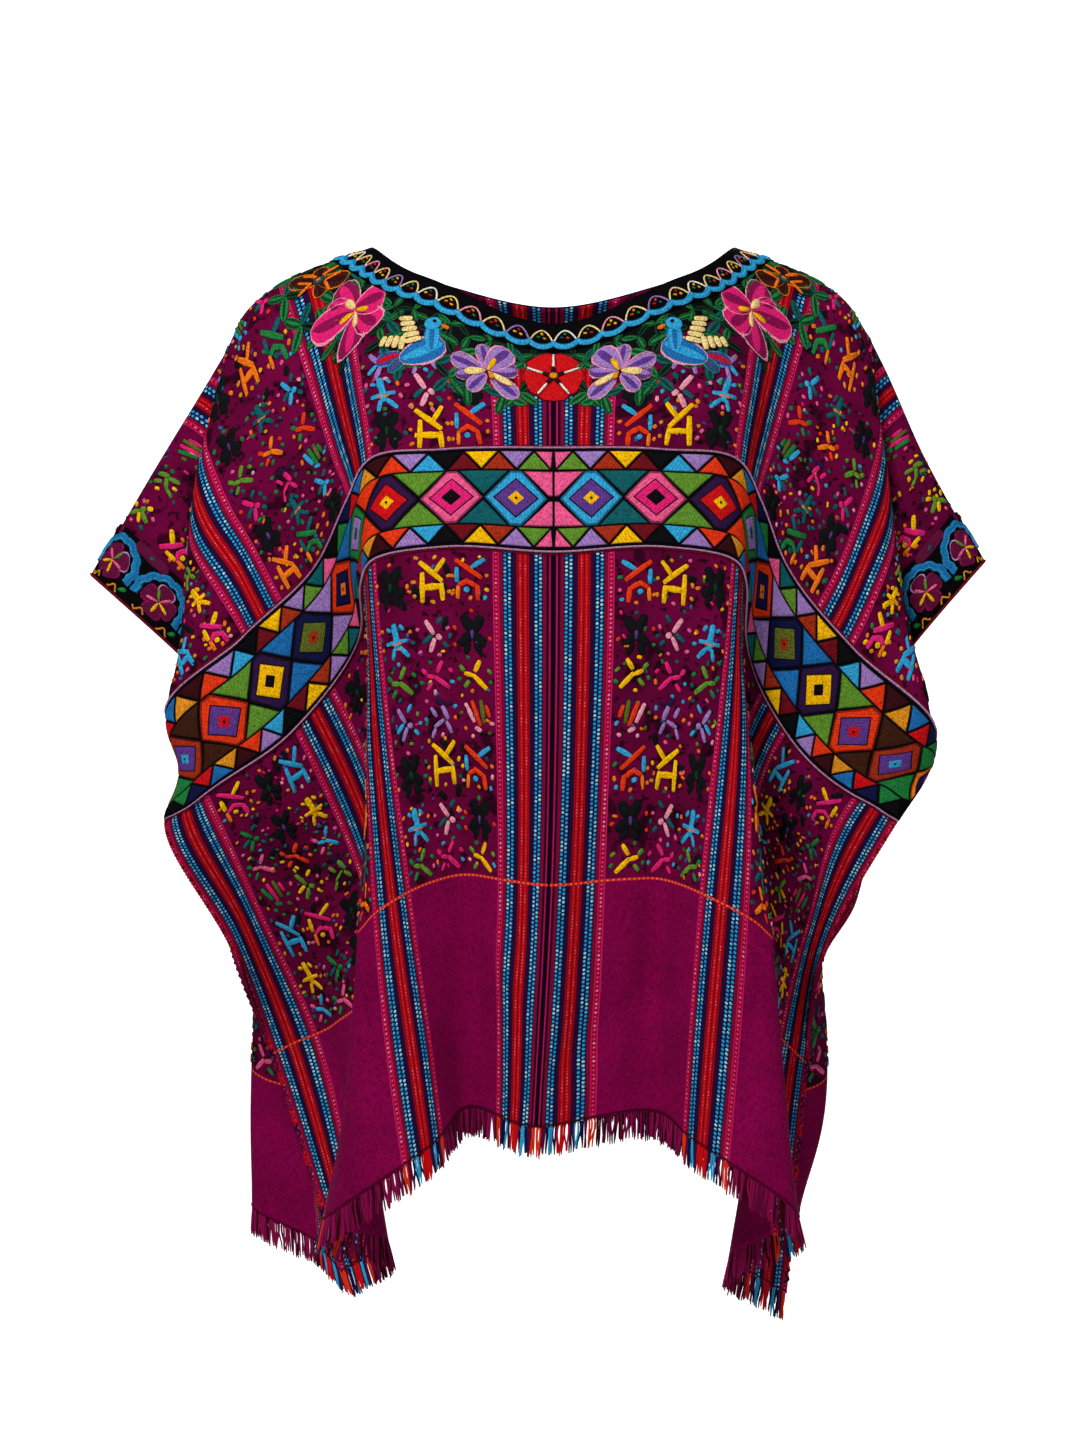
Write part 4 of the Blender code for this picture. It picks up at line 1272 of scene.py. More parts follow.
@dataclass
class ChestBand:
    """The chest band of satin-stitched diamonds and triangles, piped along both edges."""

    drape: Drape
    low: float = 0.3
    wall: float = 1.1
    pitch: float = 40.3
    gap: float = 0.75
    row: float = 12.9
    base: float = 22.0
    first: float = 3.4
    blunt: float = 3.4
    diamonds: tuple = (
        (Y.SKY, Y.PURPLE, Y.YELLOW), (Y.PINK, Y.HOT_PINK, Y.BLACK),
        (Y.PLUM, Y.RED, Y.YELLOW), (Y.GREEN, Y.LILAC, Y.TEAL),
        (Y.VERMILION, Y.NAVY, Y.ORANGE), (Y.NAVY, Y.OLIVE, Y.BRICK),
        (Y.PLUM, Y.YELLOW, Y.BLACK), (Y.VERMILION, Y.PURPLE, Y.RED),
        (Y.BRICK, Y.PURPLE, Y.SKY), (Y.ORANGE, Y.NAVY, Y.PINK),
    )
    fillers: tuple = (Y.PINK, Y.TEAL, Y.LEAF, Y.VERMILION, Y.BLUE, Y.LILAC, Y.BLUE, Y.LEAF, Y.BROWN,
                      Y.GREEN, Y.TEAL)
    small: tuple = (Y.LEAF, Y.LILAC, Y.BRICK, Y.YELLOW, Y.WINE, Y.BLACK, Y.SKY, Y.LILAC, Y.VERMILION,
                    Y.MAROON, Y.GOLD, Y.BLUE, Y.RED, Y.NAVY, Y.GREEN, Y.BLACK, Y.PINK, Y.TEAL)

    def build(self, face: Face, cotton: bpy.types.Material) -> bpy.types.Object:
        """Makes the band's own cloth on one face."""

        def flat(a: np.ndarray, b: np.ndarray) -> tuple[np.ndarray, np.ndarray]:
            """Flat places."""
            return (2 * a - 1) * HALF_WIDTH, BAND_TOP + (BAND_BOTTOM - BAND_TOP) * b

        band = cloth_piece(f"band_{face.value}", [(face, flat, (224, 20))], self.drape, self.low + self.wall,
                           self.wall, cotton)
        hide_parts(f"chest_band_{face.value}")
        return band

    def tile(self, work: Needlework, corners: Sequence[tuple[float, float]], yarn: Yarn,
             grain: float) -> None:
        """Lays one straight-sided patch, drawn in from its neighbours.

        Args:
            work: where it is laid.
            corners: its flat corners, mm.
            yarn: its colour.
            grain: how far its threads turn, radians.
        """
        points = np.array(corners, float)
        middle = points.mean(axis=0)
        reach = np.linalg.norm(points - middle, axis=1, keepdims=True)
        points = middle + (points - middle) * (1 - 1.5 * self.gap / reach)
        points[:, 0] = np.clip(points[:, 0], -HALF_WIDTH + 1, HALF_WIDTH - 1)
        work.patch(polygon(points - middle), SATIN, tuple(middle), 0.0, [yarn], around=len(points) * 5,
                   grain=grain)

    def dress(self, face: Face, yarn: bpy.types.Material) -> bpy.types.Object:
        """Lays the diamonds, triangles and the centre seam's joining stitch on one face."""
        work = Needlework(self.drape, face, base=self.low + self.wall)
        top, bottom = BAND_TOP + 1.8, BAND_BOTTOM - 1.8
        high, deep = top + self.row, bottom - self.row
        middle = (top + bottom) / 2
        tall = (deep - high) / 2
        half = self.pitch / 2
        for side in Side:
            s = side.value
            for k, (outer, inner, core) in enumerate(self.diamonds):
                cx = self.first + half + k * self.pitch
                if cx - half > HALF_WIDTH - 6:
                    break
                cxs = s * cx
                rings = [(0.97, outer, self.blunt), (0.76, Y.BLACK, 0.0), (0.7, inner, 0.0)]
                if inner is Y.HOT_PINK:
                    rings += [(0.34, Y.BLACK, 0.0)]
                rings += [(0.27, core, 0.0)]
                for lift, (scale, colour, cut) in enumerate(rings):
                    pts = [(cxs + half * scale, middle), (cxs + cut, middle + tall * scale),
                           (cxs - cut, middle + tall * scale), (cxs - half * scale, middle),
                           (cxs - cut, middle - tall * scale), (cxs + cut, middle - tall * scale)]
                    if not cut:
                        pts = [pts[0], pts[1], pts[3], pts[4]]
                    pts = [(s * min(s * x, HALF_WIDTH - 1.5), y) for x, y in pts]
                    work.patch(polygon([(x - cxs, y - middle) for x, y in pts]), SATIN, (cxs, middle), 0.0,
                               [colour], around=5 * len(pts), grain=0.9 * (k % 2), lift=0.16 * lift)
                work.patch(capsule(2.2, 1.8), KNOT, (cxs, middle), 0.0, [Y.MAROON], 8, lift=0.8)
            for k in range(len(self.diamonds)):
                x0, x1 = max(-0.2, self.first + (k - 0.5) * self.pitch), self.first + (k + 0.5) * self.pitch
                if x0 > HALF_WIDTH - 8:
                    break
                x0, x1 = (x0 + 3.6 if k else x0), min(x1 - 3.6, HALF_WIDTH - 1.2)
                tip = self.first + k * self.pitch
                tip = min(tip if k else -0.2, HALF_WIDTH - 1.2)
                filler = self.fillers[k % len(self.fillers)]
                inner = [(s * (tip + 2.8), middle), (s * tip, middle)] if k == 0 else [(s * tip, middle)]
                for edge, out in ((high, -0.6), (deep, 0.6)):
                    corners = [(s * x0, edge), (s * x1, edge), *((x, y + out) for x, y in inner)]
                    self.tile(work, corners, filler, -0.7 * out)
            count = int((HALF_WIDTH - 2) / (self.base / 2)) + 1
            for k in range(count):
                x0, x1, x2 = (1.2 + (k - 1 + j) * self.base / 2 for j in range(3))
                x0, x2 = max(x0, -0.2), min(x2, HALF_WIDTH - 1)
                x1 = min(max(x1, -0.2), HALF_WIDTH - 1)
                if x2 - x0 < 3:
                    continue
                colour = self.small[(k - 1) % len(self.small)] if k else Y.PINK
                up = k % 2 == 1
                for y0, y1 in ((top, high), (bottom, deep)):
                    first, last = (y1, y0) if up else (y0, y1)
                    corners = [(s * x0, first), (s * x2, first), (s * x1, last)]
                    self.tile(work, corners, colour, 0.5 if up else -0.5)
        us = np.linspace(-HALF_WIDTH + 0.5, HALF_WIDTH - 0.5, 360)
        for v in (BAND_TOP - 0.3, BAND_BOTTOM + 0.3):
            out = -1 if v < 220 else 1
            work.cord(us, np.full_like(us, v), 1.2, 1.1, Y.MAUVE)
            work.cord(us, np.full_like(us, v - 1.4 * out), 1.0, 0.6, Y.BLACK)
            work.cord(us, np.full_like(us, v + 1.3 * out), 1.2, 0.5, Y.WINE, lift=-self.low - 0.6)
        vs = np.linspace(BAND_TOP + 1, BAND_BOTTOM - 1, 24)
        work.cord(np.zeros_like(vs), vs, 1.7, 1.1, Y.BLACK)
        return work.piece(f"band_stitching_{face.value}", yarn)


@dataclass
class ArmholeTrim:
    """The black trim over the shoulder end of one selvage, with flowers under blue arches."""

    drape: Drape
    start: float = 345.0
    low: float = 0.3
    wall: float = 1.1
    pitch: float = 35.0
    flower_in: float = 21.0
    arch_reach: float = 14.6
    arch_turn: float = 1.95

    def build(self, side: Side, cotton: bpy.types.Material) -> bpy.types.Object:
        """Makes one trim, front and back in one piece."""

        def flat(face: Face) -> Callable:
            """What turns grid shares into flat places."""
            wide = HALF_WIDTH - self.start
            return lambda a, b: (side.value * (self.start + wide * a), face.trim_length * b)

        parts = [(face, flat(face), (12, 44)) for face in Face]
        trim = cloth_piece(f"armhole_band_{side.word}", parts, self.drape, self.low + self.wall, self.wall,
                           cotton)
        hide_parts(f"armhole_trim_{side.word}")
        return trim

    def dress(self, face: Face, yarn: bpy.types.Material) -> bpy.types.Object:
        """Lays the arches and flowers of both trims on one face."""
        work = Needlework(self.drape, face, base=self.low + self.wall)
        for side in Side:
            s = side.value
            vs = np.linspace(1, face.trim_length - 1, 90)
            work.cord(np.full_like(vs, s * (HALF_WIDTH - 1.0)), vs, 1.6, 1.0, Y.WINE)
            count = int(face.trim_length // self.pitch)
            for k in range(count):
                middle = (k + 0.5) * face.trim_length / count
                at = (s * (self.start + self.flower_in), middle)
                t = np.linspace(-1, 1, 41)
                reach = self.arch_reach + 1.3 * np.abs(np.sin(t * math.pi * 3.5))
                angle = t * self.arch_turn
                corner = (s * (self.start + 2.6), middle - face.trim_length / count / 2)
                work.patch(capsule(24, 8), SATIN, corner, math.pi / 2, [Y.CLARET], 12, lift=-0.2)
                work.patch(capsule(3.4, 2.6), KNOT, corner, k, [(Y.ORANGE, Y.TEAL)[k % 2]], 8, lift=0.2)
                for wide, high, out, tone in ((4.8, 1.1, 0.0, Y.AZURE), (1.1, 1.35, -1.6, Y.SKY),
                                              (1.2, 1.35, 0.6, Y.BLUE)):
                    us, run = at[0] - s * np.cos(angle) * (reach + out), np.sin(angle) * (reach + out)
                    work.cord(us, middle + run, wide, high, tone)
                for m in range(4):
                    rim = Y.MAUVE if m == 1 else Y.MAGENTA
                    work.patch(petal(11.5, 11.5, 0.8, 0.5), EDGED, at, 0.5 + k + m * math.pi / 2,
                               [Y.CLARET, rim, Y.CLARET], 14, mirror=s < 0)
                for m, tone in enumerate((Y.YELLOW, Y.PINK, Y.LEAF, Y.PINK, Y.YELLOW)):
                    work.patch(petal(8.5, 2.3, 1.0, 0.4), STITCH, at, 0.2 + k + m * math.pi * 0.4,
                               [tone, Y.MAROON], 8, mirror=s < 0, lift=0.9)
                for m, low in enumerate((-10.5, 6.5)):
                    t = np.linspace(0, 1, 12)
                    us = s * (HALF_WIDTH - 4.6 + 1.8 * np.sin(t * 7.0 + m))
                    work.cord(us, middle + low + 7.5 * t, 1.1, 0.7, Y.GOLD)
                leaf_at = (s * (self.start + 33.0), middle + 13.5)
                work.patch(petal(6.0, 3.2, 1.2), STITCH, leaf_at, 2.2, [Y.GREEN, Y.FOREST], 8,
                           mirror=s < 0)
        return work.piece(f"armhole_flowers_{face.value}", yarn)


# Brocade


@dataclass(frozen=True)
class Bar:
    """One brocaded bar of a motif: its two ends (x towards the seam, y down), width and yarn number."""

    x0: float
    y0: float
    x1: float
    y1: float
    wide: float = 3.0
    yarn: int = 0


@dataclass(frozen=True)
class Motif:
    """A brocaded figure of bars and knots, charted in a cell 26 mm wide."""

    bars: tuple[Bar, ...]
    knots: tuple[tuple[float, float, int], ...] = ()


DEER = Motif((
    Bar(-6.3, -4.5, -6.3, 12, 4.3), Bar(6, 3.5, 6.6, 12, 4.3), Bar(-5, 4, 5, 4, 5.2),
    Bar(-6.5, -12, 5.5, 0, 4.3), Bar(7.6, -12.5, 2.2, -5.6, 4.1),
), (
    (-11.6, 0, 1), (-11.4, 8.6, 1), (11, -2.6, 1), (11.2, 8, 1), (-9.6, -15.4, 1), (2, -15.6, 1),
    (0, 13, 1),
))
PUP = Motif((
    Bar(-8, -12, 5.8, -1.2, 4.4), Bar(8, -12.5, 1.8, -8, 4.1, 1), Bar(-8.6, -6, -8.6, 1, 3.7, 1),
    Bar(-6.6, 4, -2, 1.4, 3.8), Bar(-2, 1.4, 3.6, 4.6, 4.2), Bar(4.4, 5.4, 5, 12, 4.3),
    Bar(-8, 5.6, -8.2, 12, 3.3, 2), Bar(-2.6, 7, -2.2, 7.2, 4.2, 1),
), (
    (-11.6, -1, 2), (10.4, -2.4, 2), (10.4, 5.5, 2), (9.2, 11.5, 1), (-11.6, 9, 2), (0, 13, 2),
))
BLOOM = Motif((
    Bar(-2, -3, -4.2, -8.6, 7.4), Bar(2, -3, 5, -8.2, 7.2), Bar(-2, 2, -6, 5.6, 7.2),
    Bar(2, 2, 6, 5.4, 7.2), Bar(-2.8, 8, -4.4, 11.6, 4.8), Bar(2.8, 8, 4.6, 11.4, 4.8),
    Bar(0, -1, 0, 2.4, 3.4, 1),
), (
    (-11.4, -3, 2), (-11.8, 7, 2), (11.4, 3, 2), (0, -13.5, 2),
))
DOLL = Motif((
    Bar(-1, -9, -0.6, -5, 5.8), Bar(-6, -8.6, -4.6, -7.6, 2.8), Bar(3.6, -8.8, 5, -7, 2.9),
    Bar(-6.6, 0.6, 6.6, 0.6, 3.8), Bar(0, -3.4, 0, 3.4, 5.8), Bar(-2.2, 5.4, -3.4, 10, 3.6),
    Bar(2.8, 5, 7.2, 10, 3.8), Bar(-2.4, 1.6, 2.8, 1.6, 2.9, 1),
), (
    (-11, -7, 2), (10, -4.6, 1), (-11.2, 3.4, 1), (-10.4, 9, 2), (11, 3, 2), (0, 14, 2),
))
CROSS = Motif((
    Bar(-4.4, -8.6, -0.6, -1.8, 4.1), Bar(3, 1.4, 3.6, 1.9, 4.6), Bar(0, 3.6, -2.6, 9, 4.1),
    Bar(-6.4, 3.6, -2.6, 0.8, 3.6, 1), Bar(3, -7.6, 5, -10, 3.1, 1), Bar(7, 6, 8.4, 7.6, 3.3, 1),
), (
    (-10.4, -4, 2), (9.6, -3.6, 2), (-9.8, 9.6, 2), (11, 1.6, 1), (3, 12.6, 2),
))
SPARK = Motif((
    Bar(3.4, -8, 0.7, -3.6, 4), Bar(-5.6, -0.8, -2, 0.2, 3.8), Bar(0.2, 0.8, 7, 7.4, 4.1),
    Bar(-9, -4.8, -7.6, -3.2, 3.6, 1), Bar(-4.6, 4.6, -6.6, 7, 3.4, 1),
    Bar(9.4, -3.6, 10.4, -2.6, 2.9, 1),
), (
    (-10.4, 2.6, 2), (10.6, 3.6, 2), (-2, 10.6, 2), (-4, -9.6, 2),
))
DANCER = Motif((
    Bar(-1, -10, 1, -8.6, 4.8, 1), Bar(2, -5.4, 4.4, 0.6, 4.2), Bar(-6, -5.4, -3.6, -1.2, 3.2),
    Bar(4.6, -7, 7.8, -8.4, 2.8, 1), Bar(1, 2.6, -4, 5.4, 3.4), Bar(-5, 7.6, -6.6, 11.6, 3),
    Bar(4, 4.4, 6.6, 9.6, 3.4),
), (
    (-10.4, 1, 2), (10.4, 1.6, 2), (-9, -10, 2), (10.6, -5, 2), (0.4, 11.4, 2),
))
BUNDLE = Motif((
    Bar(-6.4, -6.4, -2.4, 3, 3.8, 1), Bar(-2, -8, 2, 5, 3.8), Bar(3.4, -8.6, 5.4, 3, 3.6, 2),
    Bar(7.2, -6, 8.8, -1, 3.4), Bar(0, 7.8, 2.2, 8.8, 3.6, 1),
), (
    (-10.4, -2, 2), (10.8, 3.6, 1), (-8, 8, 2), (9, 9.6, 2), (-3, 12.8, 1),
))

# Each kind of row: the motif and its three yarns at each of the three places across a zone
ROW_SETS: dict[str, tuple] = {
    "animals": ((PUP, (Y.VERMILION, Y.SKY, Y.ORANGE)), (DEER, (Y.YELLOW, Y.GOLD, Y.CREAM)),
                (BLOOM, (Y.COAL, Y.FOREST, Y.ORANGE))),
    "dolls": ((BLOOM, (Y.COAL, Y.PURPLE, Y.VERMILION)), (CROSS, (Y.ROSE, Y.TEAL, Y.PINK)),
              (DOLL, (Y.SKY, Y.ORANGE, Y.TEAL))),
    "crosses": ((SPARK, (Y.YELLOW, Y.LEAF, Y.GREEN)), (SPARK, (Y.HOT_PINK, Y.HOT_PINK, Y.SKY)),
                (SPARK, (Y.LEAF, Y.GREEN, Y.TEAL))),
    "dancers": ((BUNDLE, (Y.VERMILION, Y.ROSE, Y.OLIVE)), (DANCER, (Y.LILAC, Y.PLUM, Y.SKY)),
                (CROSS, (Y.LILAC, Y.SKY, Y.LEAF))),
}
# Where each row runs down from the shoulder fold, mm
ROW_PLACES = ((-16, "crosses"), (15, "dancers"), (44, "animals"), (74, "dolls"), (101, "crosses"),
              (125, "dancers"), (147, "dolls"), (171, "animals"), (275, "animals"), (309, "dolls"),
              (335, "crosses"), (360, "dancers"), (392, "animals"), (424, "dolls"), (448, "crosses"))
# What each zone of a panel, from the seam out, changes in those yarns
ZONE_YARNS = (
    {},
    {Y.YELLOW: Y.ORANGE, Y.VERMILION: Y.GREEN, Y.SKY: Y.TEAL, Y.ROSE: Y.SKY, Y.LEAF: Y.VERMILION,
     Y.HOT_PINK: Y.LEAF, Y.LILAC: Y.HOT_PINK},
    {Y.YELLOW: Y.SKY, Y.VERMILION: Y.HOT_PINK, Y.SKY: Y.YELLOW, Y.ROSE: Y.GREEN, Y.HOT_PINK: Y.VERMILION,
     Y.LILAC: Y.LEAF, Y.LEAF: Y.PINK},
)


@dataclass
class Brocade:
    """The brocaded figures between the stripe groups, row by row."""

    drape: Drape
    yoke: float = 66.0
    seed: int = 7
    trim_edge: float = 343.0
    columns: tuple[float, float, float] = (0.17, 0.5, 0.83)
    yoke_sizes: tuple[float, float, float] = (1.0, 0.84, 0.72)
    dabs: tuple = (Y.ORANGE, Y.YELLOW, Y.TEAL, Y.SKY, Y.ROSE, Y.ORANGE, Y.PINK, Y.GREEN)
    strewn: tuple = (Y.ORANGE, Y.COAL, Y.TEAL, Y.GREEN, Y.HOT_PINK, Y.BLUE, Y.COAL, Y.PURPLE, Y.YELLOW,
                     Y.CLARET)

    def clear(self, face: Face, u: float, v: float) -> bool:
        """Whether a place is on the brocade ground, away from band, plain end, trims and yoke."""
        if not 2.0 < v < PLAIN_FROM - 3 or BAND_TOP - 5 < v < BAND_BOTTOM + 5:
            return False
        if abs(u) > self.trim_edge and v < face.trim_length + 2:
            return False
        x, y = abs(u) / (NECK_HALF_WIDTH + self.yoke), v / (face.neck_depth + self.yoke)
        return math.hypot(x, y) > 0.93 + 0.05 * math.sin(math.atan2(x, y) * 9)

    def build(self, face: Face, side: Side, yarn: bpy.types.Material) -> bpy.types.Object:
        """Makes one panel's figures on one face."""
        work = Needlework(self.drape, face)
        rng = np.random.default_rng(self.seed + side.value + 5 * (face is Face.BACK))
        s = side.value
        for zone, (low, high) in enumerate(ZONES):
            places = [low + (high - low) * f for f in self.columns]
            for row, (v, kind) in enumerate(ROW_PLACES):
                cells = ROW_SETS[kind]
                shift = zone + (row % 3 if zone else 0)
                for column, u in enumerate(places):
                    motif, yarns = cells[(column + shift) % 3]
                    yarns = tuple(ZONE_YARNS[zone].get(y, y) for y in yarns)
                    size = self.yoke_sizes[zone] if v < BAND_TOP else 1.0
                    centre = (s * (u + rng.normal(0, 0.5)), v + rng.normal(0, 0.8))
                    self.motif(work, motif, yarns, centre, s, size, rng)
            for _ in range(26):
                u, v = rng.uniform(low + 5, high - 5), rng.uniform(8, PLAIN_FROM - 8)
                if self.clear(face, u, v):
                    outline = capsule(rng.uniform(7, 12), rng.uniform(4, 6))
                    work.patch(outline, KNOT, (s * u, v), rng.uniform(0, 3), [Y.COAL], 8, lift=-0.5)
            for _ in range(150 + 50 * zone):
                u, v = rng.uniform(low + 2, high - 2), rng.uniform(4, PLAIN_FROM - 5)
                if self.clear(face, u, v):
                    tone = self.strewn[rng.integers(len(self.strewn))]
                    outline = capsule(rng.uniform(2.4, 4.0), 2.2)
                    work.patch(outline, KNOT, (s * u, v), rng.uniform(0, 3), [tone], 6)
        return work.piece(f"brocade_{face.value}_{side.word}", yarn)

    def motif(self, work: Needlework, motif: Motif, yarns: Sequence[Yarn], centre: tuple[float, float],
              s: int, size: float, rng: np.random.Generator) -> None:
        """Lays one figure, bar by bar, where its bars fall on the brocade ground.

        Args:
            work: where it is laid.
            motif: its chart.
            yarns: the three colours that the chart numbers.
            centre: its flat place, mm.
            s: 1 on the right panel and -1 on the left, which mirrors it.
            size: 1 at the charted size.
            rng: the panel's random draws.
        """
        u, v = centre
        for bar in motif.bars:
            run = ((bar.x0 - bar.x1) * size, (bar.y1 - bar.y0) * size)
            middle = (u - s * (bar.x0 + bar.x1) / 2 * size, v + (bar.y0 + bar.y1) / 2 * size)
            if not self.clear(work.face, *middle):
                continue
            length = math.hypot(*run) + bar.wide
            angle = math.atan2(run[1], run[0] * s) + rng.normal(0, 0.05)
            # Painted shade: the black rim of each bar is a dark outline standing in for the shade round the
            # raised yarn
            work.patch(capsule(length, bar.wide * rng.uniform(0.92, 1.08)), STITCH, middle, angle,
                       [yarns[bar.yarn], Y.BLACK], 8, grain=math.pi / 2)
        for x, y, index in motif.knots:
            at = (u - s * x * size, v + y * size + rng.normal(0, 0.5))
            if self.clear(work.face, *at):
                tone = yarns[index] if rng.random() < 0.6 else self.dabs[int(rng.integers(len(self.dabs)))]
                # Painted shade: the black rim of each knot is a dark outline standing in for the shade round
                # the raised yarn
                work.patch(capsule(rng.uniform(3.0, 4.2), 2.8), STITCH, at, rng.uniform(0, 3),
                           [tone, Y.BLACK], 8, grain=math.pi / 2)


# The flowers round the neck


@dataclass
class YokeGarden:
    """Embroidered flowers, birds and leaves laid round the neck ring."""

    drape: Drape
    places: tuple = ((38.5, 136.5), (76.5, 117.5), (113.0, 72.0), (131.0, 27.0))
    leaf_places: tuple = ((17, 128), (20, 149), (30, 152), (52, 146), (57, 128), (62, 141), (66, 112),
                          (90, 128), (98, 110), (93, 96), (100, 84), (122, 92), (128, 78), (134, 58),
                          (126, 48), (146, 46), (150, 24), (142, 10), (110, 46), (118, 12))
    rose_down: float = 137.0
    neck_reach: float = 140.0

    def spray(self, work: Needlework, at: tuple[float, float], s: int, parts: Iterable[tuple]) -> None:
        """Lays patches drawn for the right half round one place, mirrored on the left half.

        Args:
            work: where they are laid.
            at: flat place on the right half, mm.
            s: 1 on the right, -1 on the left.
            parts: x and y from the place, turn, outline, relief, yarns and lift of each patch.
        """
        for x, y, turn, outline, relief, yarns, lift in parts:
            place = (s * (at[0] + x), at[1] + y)
            work.patch(outline, relief, place, turn, yarns, 14, mirror=s < 0, lift=lift)

    def lily(self) -> tuple:
        """A big pink lily with light edges and cream stamens, longer along the slope of the shoulder."""
        deep = [Y.MAGENTA, Y.ROSE, Y.HOT_PINK]
        light = [Y.HOT_PINK, Y.ROSE, Y.MAGENTA]
        stamen, gold = [Y.CREAM, Y.GOLD], [Y.YELLOW, Y.GOLD]
        return (
            (0, 0, -1.3, petal(31, 18, 0.9, 0.3), EDGED, deep, 0.0),
            (2, 0, -1.0, petal(27, 12, 1.0, 0.3), EDGED, light, 0.1),
            (0, 2, -0.62, petal(36, 21, 1.1, 0.1), EDGED, light, 0.2),
            (2, 4, 1.35, petal(25, 23, 1.0, 0.4), EDGED, deep, 0.2),
            (-1, 3, 2.1, petal(24, 20, 0.85, 0.4), EDGED, light, 0.3),
            (1, -2, 2.95, petal(22, 24, 0.8, 0.4), EDGED, light, 0.4),
            (0, -1, -1.15, petal(13, 4.6, 0.9, 0.3), STITCH, stamen, 1.2),
            (1, 2, -0.4, petal(11, 4.2, 1.0, 0.3), STITCH, gold, 1.2),
            (0, 2, 1.5, petal(12, 3.8, 1.0, 0.3), STITCH, stamen, 1.2),
            (-1, 1, 2.5, petal(10, 3.6, 1.0, 0.3), STITCH, gold, 1.3),
        )

    def orchid(self) -> tuple:
        """A purple orchid with pale edges and a long cream heart, 40 mm across."""
        body, dark = [Y.LILAC, Y.ROSE, Y.PURPLE], [Y.PURPLE, Y.ROSE, Y.LILAC]
        cream = [Y.CREAM, Y.GOLD]
        return (
            (0, -1, -1.45, petal(17, 10, 0.9, 0.3), EDGED, body, 0.0),
            (2, 0, 0.14, petal(18, 10, 1.0, 0.3), EDGED, dark, 0.0),
            (2, 0, -0.42, petal(21, 12, 1.1, 0.3), EDGED, body, 0.1),
            (1, 2, 0.75, petal(16, 10, 1.0, 0.3), EDGED, body, 0.2),
            (-1, 2, 2.4, petal(22, 12, 1.1, 0.3), EDGED, body, 0.2),
            (0, 0, -3.0, petal(18, 11, 0.9, 0.4), EDGED, dark, 0.1),
            (1, -1, -2.35, petal(21, 15, 0.8, 0.4), EDGED, body, 0.3),
            (1, 0, 0.1, petal(13, 4.8, 1.0, 0.3), STITCH, cream, 1.2),
            (0, 1, 2.65, petal(16, 4.4, 1.0, 0.3), STITCH, cream, 1.3),
            (0, 0, -2.1, petal(10, 3.2, 1.0, 0.3), STITCH, [Y.YELLOW, Y.GOLD], 1.4),
            (-2, 3.4, 1.8, capsule(5.2, 3.6), KNOT, [Y.GOLD], 1.5),
        )

    def bird(self) -> tuple:
        """A blue bird that looks to the centre, with a tail and a raised wing of cream bars."""
        parts = [
            (11, 6, 0.05, petal(17, 10, 0.9, 0.2), EDGED, [Y.PURPLE, Y.SKY, Y.RED], 0.0),
            (9, 8, 0.6, petal(14, 7, 0.9, 0.2), EDGED, [Y.TEAL, Y.SKY, Y.PURPLE], 0.1),
            (13, 10, -2.85, petal(29, 18, 0.8, 0.2), EDGED, [Y.BLUE, Y.ROSE, Y.SKY], 0.3),
            (-6, 7, -1.75, petal(19, 10, 0.8, 0.0), EDGED, [Y.SKY, Y.BLUE, Y.BLUE], 0.5),
            (-9.4, -11.4, 0.3, capsule(10.4, 8.6), SATIN, [Y.SKY], 1.1),
            (-13.8, -10, 2.6, petal(5.4, 3.2, 1.2), STITCH, [Y.ORANGE, Y.BROWN], 1.1),
            (-10.8, -12.4, 0.0, capsule(2.3, 1.9), KNOT, [Y.COAL], 2.0),
        ]
        cream = [Y.CREAM, Y.BROWN]
        for k in range(5):
            bar = capsule(10.4 - 0.4 * k, 4.2)
            parts.append((3.4 + 0.5 * k, -2.2 - 4.0 * k, 0.12 - 0.1 * k, bar, STITCH, cream, 1.4))
            if k < 4:
                bar = capsule(10.0 - 0.7 * k, 4.2)
                parts.append((9.8 + 3.6 * k, -1.4 - 1.5 * k, 1.25 - 0.1 * k, bar, STITCH, cream, 1.4))
        return tuple(parts)

    def rose(self) -> tuple:
        """The round red flower on the centre seam, with five petals, white veins and a gold heart."""
        red, parts = [Y.RED, Y.WINE, Y.RED], []
        for k in range(5):
            turn = math.pi / 2 + k * 0.4 * math.pi
            parts.append((0, 0, turn, petal(17.6, 18.5, 0.62, 0.45), EDGED, red, 0.1 * (k % 3)))
        for k in range(5):
            turn = math.pi / 2 + (k + 0.5) * 0.4 * math.pi
            cos, sin = math.cos(turn), math.sin(turn)
            parts.append((cos * 11, sin * 11, turn, capsule(10.5, 1.5), KNOT, [Y.WHITE], 0.9))
            parts.append((cos * 3.6, sin * 3.6, turn, capsule(7.0, 3.2), KNOT, [Y.MAROON], 1.0))
        return (*parts, (0, 0, 0.0, capsule(5.6, 5.0), KNOT, [Y.GOLD], 1.4))

    def thistle(self) -> tuple:
        """A long brown flower veined in orange with a teal eye, on the slope near the fold."""
        brown, orange = [Y.BROWN, Y.ORANGE, Y.MAROON], [Y.ORANGE, Y.BROWN]
        parts = [
            (0, 0, -0.7, petal(19, 13, 0.8, 0.2), EDGED, brown, 0.0),
            (0, 0, 2.45, petal(19, 13, 0.8, 0.2), EDGED, brown, 0.1),
            (0, 0, 1.5, petal(12, 9, 0.9, 0.2), EDGED, brown, 0.1),
            (0, 0, -1.8, petal(13, 9, 0.9, 0.2), EDGED, brown, 0.1),
        ]
        for k, turn in enumerate((-1.1, -0.45, 0.1, 2.0, 2.8, -2.6)):
            x, y = math.cos(turn) * 8, math.sin(turn) * 8
            parts.append((x, y, turn + 0.3 * (-1) ** k, capsule(9.5, 2.0), STITCH, orange, 0.9))
        return (*parts, (0, 0, 0.0, capsule(6.5, 5.5), KNOT, [Y.TEAL], 0.9),
                (0, 0, 0.0, capsule(2.8, 2.4), KNOT, [Y.ORANGE], 1.5))

